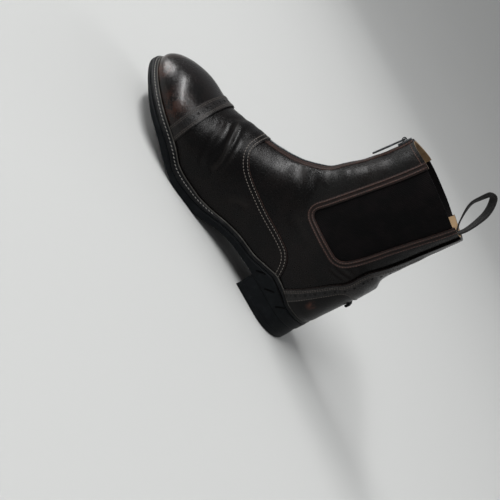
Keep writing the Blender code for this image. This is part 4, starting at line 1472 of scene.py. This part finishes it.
# cuts in the heel's side: radius, then points from the heel's back, in millimetres
soleMarks = (
    (1.15, ((67.6, 22.5), (64, 26.0), (60.5, 28.6))),
    (1.05, ((50.4, 20.6), (46.5, 24.2), (42.8, 27.4))),
    (1.05, ((31.7, 21.0), (29.0, 24.8), (26.2, 28.2))),
    (1.20, ((60.5, 31.9), (55, 33.3), (50, 33.0), (44, 32.0), (37, 30.6), (31, 29.3))),
)
outsole = makeOutsole()
combine(outsole, [makeHeelBlock()], "UNION")
cuts = []
for radius, line in soleMarks:
    for which in (1, -1):
        place = onSole(finer(line, 14), which)
        taper = np.sqrt(np.clip(np.sin(np.linspace(0.12, math.pi - 0.12, len(place))), 0, 1))
        cuts.append(tubeAlong(place, radius / 1000 * taper, "soleMark", slot=1))
combine(outsole, cuts, "DIFFERENCE")
dress(outsole, "boot", "rubber", "outsole", leather=False)

# cross bars under the forefoot, in two rows: pitch, length and reach from the heel's back in millimetres,
# the rest in metres
tread = {
    "pitch": 5.4, "long": 3.4, "from": 128, "to": 262, "edge": 0.009, "split": 0.0012, "low": 0.00002,
    "high": 0.0012, "least": 0.012,
}


def makeTread():
    points, faces = [], []
    for middle in np.arange(tread["from"], tread["to"], tread["pitch"]):
        ends = [float(fromHeel(middle + way * tread["long"] / 2)) for way in (-1, 1)]
        at = np.array(ends)
        outer = float(np.min(halfWidth(at, tread["edge"], True) + ridge(at)))
        inner = float(np.max(ridge(at) - halfWidth(at, tread["edge"], False)))
        if outer - inner < tread["least"]:
            continue
        centre = (outer + inner) / 2
        for ys in ((inner, centre - tread["split"]), (centre + tread["split"], outer)):
            start = len(points)
            for x in ends:
                under = float(underside(np.array(x)))
                points += [(x, y, under + tread[level]) for y in ys for level in ("low", "high")]
            for face in ((0, 1, 3, 2), (4, 6, 7, 5), (0, 4, 5, 1), (2, 3, 7, 6), (0, 2, 6, 4), (1, 5, 7, 3)):
                faces.append(tuple(start + corner for corner in face))
    return faceOut(newObject("treadBars", points, faces, [soleRubber], smooth=False))


dress(makeTread(), "boot", "rubber", leather=False)

weltOf = {"reveal": 0.0004, "wall": 0.0024, "tuck": 0.0040, "stitchAt": 0.36, "stitchFrom": 128}


def weltAcross(t):
    # the inset t of the way from the welt's rim in to the leather
    return lambda x: weltOf["reveal"] + t * (rim(x) - weltOf["reveal"])


def makeWelt():
    def slope(t, sink=0.0):
        # t of the way from the rim up to the leather, and millimetres below that
        def height(x):
            low = weltTop(x)
            return low + t * (feather(x) - low) - sink / 1000 * rimShare(share(x))

        return soleRing(weltAcross(t), height)

    def under(x):
        return rim(x) + weltOf["wall"] + weltOf["tuck"]

    rings = [soleRing(0.9, weltBottom)]
    for inset, level, lift in (
        (0.45, weltBottom, 0.0003), (0.3, weltBottom, 0.0010),
        (0.3, weltTop, -0.0008), (0.45, weltTop, -0.0003),
    ):
        rings.append(soleRing(inset, lambda x: level(x) + lift))
    # a shallow channel for the stitches between 0.22 and 0.51 of the way in
    for t, sink in (
        (0.10, -0.05), (0.22, 0.0), (0.28, 0.32), (0.45, 0.32), (0.51, 0.0), (0.70, -0.1), (1.0, 0.0),
    ):
        rings.append(slope(t, sink))
    rings += [soleRing(under, feather), soleRing(under, weltBottom)]
    return ringSolid("weltRubber", rings, [weltFinish], loop=True)


dress(makeWelt(), "boot", "welt_leather", "welt", leather=False)

# the round bead between the welt and the leather; sizes in metres
beadOf = {"radius": 0.00062, "sides": 8, "in": 0.0004, "down": 0.0001, "lasted": settle["lasted"]}


def leatherOut(x):
    # how far the outer leather stands from the last just above the welt
    atCap = smoothStep((x - fromHeel(203)) / 0.006) * (panels["cap"][0] - panels["vamp"][0])
    return (panels["vamp"][0] + atCap) / 1000 - beadOf["lasted"]


def makeBead():
    centre = soleRing(lambda x: rim(x) - leatherOut(x) - beadOf["in"], lambda x: feather(x) - beadOf["down"])
    run = unit(np.roll(centre, -1, axis=0) - np.roll(centre, 1, axis=0))
    across = unit(np.cross(run, (0.0, 0.0, 1.0)))
    up = np.array((0.0, 0.0, 1.0))
    rings = [centre + beadOf["radius"] * (a * across + b * up) for a, b in circle(beadOf["sides"])]
    return ringSolid("weltBead", rings, [beadFinish], loop=True)


dress(makeBead(), "boot", "welt_leather", leather=False)

ring = soleRing(
    weltAcross(weltOf["stitchAt"]),
    lambda x: weltTop(x) + weltOf["stitchAt"] * (feather(x) - weltTop(x)) - 0.0001,
)
row = evened(ring[ring[:, 0] > fromHeel(weltOf["stitchFrom"])])
up = np.tile((0.0, 0.0, 1.0), (len(row), 1))
pitch, size = stitch["welt"]
made = rowOf("weltStitches", [(row, up, False)], stitchItem, paleThread, pitch, size, wobble=0.12)
dress(made, "boot", "welt_leather", leather=False)

insoleOf = {"wall": 0.0024, "play": 0.0022, "thick": 0.0030}


def makeInsole():
    # further in from the edge, and height above the seat
    def layer(further, height):
        edge = insoleOf["wall"] + insoleOf["play"] + further
        return soleRing(lambda x: rim(x) + edge, lambda x: feather(x) + clearance + height)

    thick = insoleOf["thick"]
    rings = [layer(0.0, 0.0), layer(0.0, thick - 0.0006), layer(0.0008, thick), layer(0.006, thick - 0.0002)]
    return ringSolid("insoleLeather", rings, [lining])


dress(makeInsole(), "boot", "lining", "insole", leather=False)
print("sole made")


# Zip, slider and pull
teeth = {"pitch": 0.00145, "long": 0.0017, "wide": 0.0034, "high": 0.0017, "aside": 0.00095, "lift": -0.35}


def toothShape():
    # one moulded tooth: a block with a rounded head towards +Y
    outline = (
        (-0.5, -0.5), (0.5, -0.5), (0.5, 0.1), (0.38, 0.36),
        (0.16, 0.5), (-0.16, 0.5), (-0.38, 0.36), (-0.5, 0.1),
    )
    rings = [
        [(x * grow, y * grow if y > 0 else y * (0.5 + grow / 2), z) for x, y in outline]
        for z, grow in ((-0.5, 1.0), (0.25, 1.0), (0.5, 0.72))
    ]
    points = [point for ring in rings for point in ring]
    made = faceOut(newObject("toothItem", points, stackFaces(rings) + stackEnds(rings), [], smooth=False))
    made.hide_render = True
    return made


x, z = downFront(0.955, 0.31, 0.0032, 600)
toothLine, toothOut = lifted(evened(np.stack([x, 0 * x, z], 1)), teeth["lift"])
toothOut[:, 1] = 0
toothItem = toothShape()
even = (teeth["long"], teeth["wide"], teeth["high"])
odd = (teeth["long"], -teeth["wide"], teeth["high"])
lines = [(toothLine, unit(toothOut), False)]
row = rowOf("zipTeethRow", lines, toothItem, toothMetal, teeth["pitch"], even, odd, teeth["aside"])
faceOut(row)
row.data.shade_flat()
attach(row, "boot")
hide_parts("zip_teeth")


def copyOf(node, name, finish, bevel, segments=2):
    # a solid's own shape with its edges softened
    made = bpy.data.objects.new(name, frame["nodes"][node].data.copy())
    bpy.context.scene.collection.objects.link(made)
    work = bmesh.new()
    work.from_mesh(made.data)
    bmesh.ops.remove_doubles(work, verts=work.verts, dist=2e-6)
    bmesh.ops.dissolve_limit(work, angle_limit=math.radians(3), verts=work.verts, edges=work.edges)
    work.to_mesh(made.data)
    work.free()
    made.data.materials.clear()
    made.data.materials.append(finish)
    fields = made.data.attributes
    for unwanted in [field.name for field in fields if field.name.startswith(("custom_normal", "sharp"))]:
        fields.remove(fields[unwanted])
    step = made.modifiers.new("soften", "BEVEL")
    step.width = bevel
    step.segments = segments
    step.limit_method = "ANGLE"
    step.angle_limit = math.radians(30)
    return bake(made)


dress(copyOf("zip_slider", "sliderBody", gunmetal, 0.00025), "boot", "gunmetal", "zip_slider", leather=False)
dress(copyOf("zip_pull", "pullTab", gunmetal, 0.00028), "pull", "gunmetal", "zip_pull", leather=False)

# the pull's raised rim: half its outline as shares of length and width, then inset and height in millimetres
pullRim = {
    "wide": 0.0120,
    "outline": ((0.40, 0.0), (0.40, 0.26), (0.46, 0.42), (0.62, 0.475), (0.78, 0.405), (0.90, 0.225),
                (0.975, 0.0)),
    "section": ((0.35, 0.55), (0.35, 0.90), (0.60, 1.10), (0.85, 1.10), (1.15, 0.90), (1.15, 0.55)),
}


def makePullBorder():
    hinge = np.array(frame["joints"][0]["pos_m"])
    points = np.array([v.co for v in frame["nodes"]["zip_pull"].data.vertices], float)
    tip = points[np.argmax(np.linalg.norm(points - hinge, axis=1))]
    down = np.array([tip[0] - hinge[0], tip[2] - hinge[2]])
    length = float(np.linalg.norm(down))
    down = down / length
    shape = finer(pullRim["outline"], 40)
    ring = np.concatenate([shape, shape[-2:0:-1] * (1, -1)]) * (length, pullRim["wide"])
    middle = ring.mean(axis=0)
    rings = []
    for inset, height in pullRim["section"]:
        gone = np.linalg.norm(ring - middle, axis=1, keepdims=True)
        flat = middle + (ring - middle) * (1 - inset / 1000 / gone)
        x = hinge[0] + flat[:, 0] * down[0] - height / 1000 * down[1]
        z = hinge[2] + flat[:, 0] * down[1] + height / 1000 * down[0]
        rings.append(np.stack([x, flat[:, 1], z], 1))
    return ringSolid("pullBorder", rings, [gunmetal], loop=True)


dress(makePullBorder(), "pull", "gunmetal", leather=False)


# Pull loop: its path as a share of the way along, then ahead and up as shares of its height, and the
# webbing's section as shares of its width and thickness
loop = {
    "high": 0.038, "wide": 0.0120, "thick": 0.0014, "setIn": 0.0012, "twist": 0.45,
    "path": ((0.00, 0.00, -0.40), (0.14, 0.00, -0.06), (0.22, -0.02, 0.12), (0.36, 0.07, 0.62),
             (0.46, 0.26, 0.93), (0.50, 0.36, 1.00), (0.54, 0.44, 0.94), (0.64, 0.43, 0.62),
             (0.78, 0.16, 0.12), (0.86, 0.00, -0.06), (1.00, 0.00, -0.36)),
    "section": ((-0.5, -0.25), (-0.5, 0.25), (-0.46, 0.46), (-0.3, 0.5), (0.0, 0.46), (0.3, 0.5),
                (0.46, 0.46), (0.5, 0.25), (0.5, -0.25), (0.46, -0.46), (0.3, -0.5), (0.0, -0.46),
                (-0.3, -0.5), (-0.46, -0.46)),
}


def makeLoop():
    back, _ = profile(np.array([last["shaftHeight"]]))
    x = back[0] + 0.0024 + clearance + loop["setIn"] + loop["thick"] / 2
    z = float(heightAt(back[0], last["shaftHeight"]))
    t = np.linspace(0, 1, 121)
    ahead, up = (way(t) * loop["high"] for way in curvesOf(loop["path"]))
    aside = (loop["thick"] + clearance) * smoothStep((t - 0.5) * 5)
    places = np.stack([x + ahead + aside, z + up], 1)
    run = unit(np.gradient(places, axis=0))
    turned = loop["twist"] * np.sin(math.pi * np.clip((t - 0.12) / 0.76, 0, 1)) ** 2
    rings = []
    for y, o in loop["section"]:
        y, o = y * loop["wide"], o * loop["thick"]
        across = y * np.cos(turned) - o * np.sin(turned)
        away = y * np.sin(turned) + o * np.cos(turned)
        rings.append(np.stack([places[:, 0] - run[:, 1] * away, across, places[:, 1] + run[:, 0] * away], 1))
    rings = np.array(rings).transpose(1, 0, 2)
    faces = stackFaces(rings) + stackEnds(rings)
    return faceOut(newObject("pullLoopWebbing", rings.reshape(-1, 3), faces, [webbing]))


dress(makeLoop(), "boot", "tape", "pull_loop", leather=False)
spur = copyOf("spur_rest", "spurRestPad", soleRubber, 0.0011, 4)
dress(spur, "boot", "leather", "spur_rest", leather=False)
drop(stitchItem, pin, toothItem)
print("fittings made")


# Floor, lights and camera
sweep = {"near": 0.8, "flat": 3.5, "far": 8.0, "high": 1.8, "turns": 64}
floorTones = ((0.475, 0.48, 0.472), (0.51, 0.515, 0.507))
paper = Finish("paleFloor")
cloud = paper.noise(0.7, 2.0)
paper.set(colour=paper.mix(cloud, *floorTones), roughness=0.7, specular=0.15)


def makeFloor():
    # a flat floor that turns up far away all round, like a paper sweep
    turns, flat, turned = sweep["turns"], sweep["flat"], sweep["far"] - sweep["flat"]
    points = [(0.0, 0.0, 0.0)]
    radii = [sweep["near"], flat, *(flat + turned * np.linspace(0.1, 1, 12))]
    for radius in radii:
        rise = max(0.0, (radius - flat) / turned)
        points += [(radius * a, radius * b, sweep["high"] * rise**2) for a, b in circle(turns)]
    faces = [(0, 1 + i, 1 + (i + 1) % turns) for i in range(turns)]
    for k in range(len(radii) - 1):
        low, high = 1 + k * turns, 1 + (k + 1) * turns
        for i in range(turns):
            after = (i + 1) % turns
            faces.append((low + i, high + i, high + after, low + after))
    return newObject("floor", points, faces, [paper.material])


makeFloor()

world = bpy.data.worlds.new("paleRoom")
bpy.context.scene.world = world
world.use_nodes = True
background = world.node_tree.nodes["Background"].inputs
background["Color"].default_value = (0.97, 0.98, 1.0, 1)
background["Strength"].default_value = 0.27


def placed(right, up, back, at):
    # the matrix of a light or camera from its own three axes and its place
    return Matrix([[right[i], up[i], back[i], at[i]] for i in range(3)] + [[0, 0, 0, 1]])


# lights: the direction each stands in, the way its first side runs, size in metres, power and spread
lightsAim, lightsAway = (0.02, 0.0, 0.07), 5.0
studio = {
    "stripOverhead": ((0.56, 0.25, 0.74), (-0.22, 0.77, -0.02), (4.9, 0.52), 285.0, 180),
    "stripToe": ((0.90, -0.14, 0.42), (-0.16, 0.77, -0.12), (1.6, 0.25), 18.0, 110),
    "shaftPanel": ((0.97, -0.17, 0.20), (0.0, 1.0, 0.0), (2.2, 1.3), 36.0, 110),
    "softFront": ((0.27, 0.42, 0.85), (1.0, 0.0, 0.0), (1.5, 1.9), 36.0, 180),
    "softBack": ((-0.78, -0.40, 0.50), (-0.4, 0.8, 0.0), (2.6, 1.6), 42.0, 180),
}


def areaLight(name, towards, along, size, power, spread):
    light = bpy.data.lights.new(name, "AREA")
    light.shape = "RECTANGLE"
    light.size, light.size_y = size
    light.energy = power
    light.spread = math.radians(spread)
    made = bpy.data.objects.new(name, light)
    bpy.context.scene.collection.objects.link(made)
    back = unit(np.array(towards))
    right = unit(np.array(along) - (np.array(along) @ back) * back)
    at = np.array(lightsAim) + back * lightsAway
    made.matrix_world = placed(right, np.cross(back, right), back, at)
    made.visible_camera = False


for name, values in studio.items():
    areaLight(name, *values)

# the camera fitted to the photo; the focal length is in its pixels
view = {
    "pixels": 500,
    "place": (-0.015159, 0.623463, 0.240408),
    "right": (-0.501511, -0.265811, 0.823305),
    "up": (0.863207, -0.217500, 0.455596),
    "back": (0.057966, 0.939169, 0.338529),
    "focal": 720.0157,
}
cameraData = bpy.data.cameras.new("photoCamera")
cameraData.sensor_width = 36.0
cameraData.lens = view["focal"] / view["pixels"] * cameraData.sensor_width
cameraData.clip_start = 0.01
camera = bpy.data.objects.new("photoCamera", cameraData)
bpy.context.scene.collection.objects.link(camera)
camera.matrix_world = placed(view["right"], view["up"], view["back"], view["place"])
bpy.context.scene.camera = camera
bpy.context.scene.view_settings.view_transform = "Standard"
print("stage set")
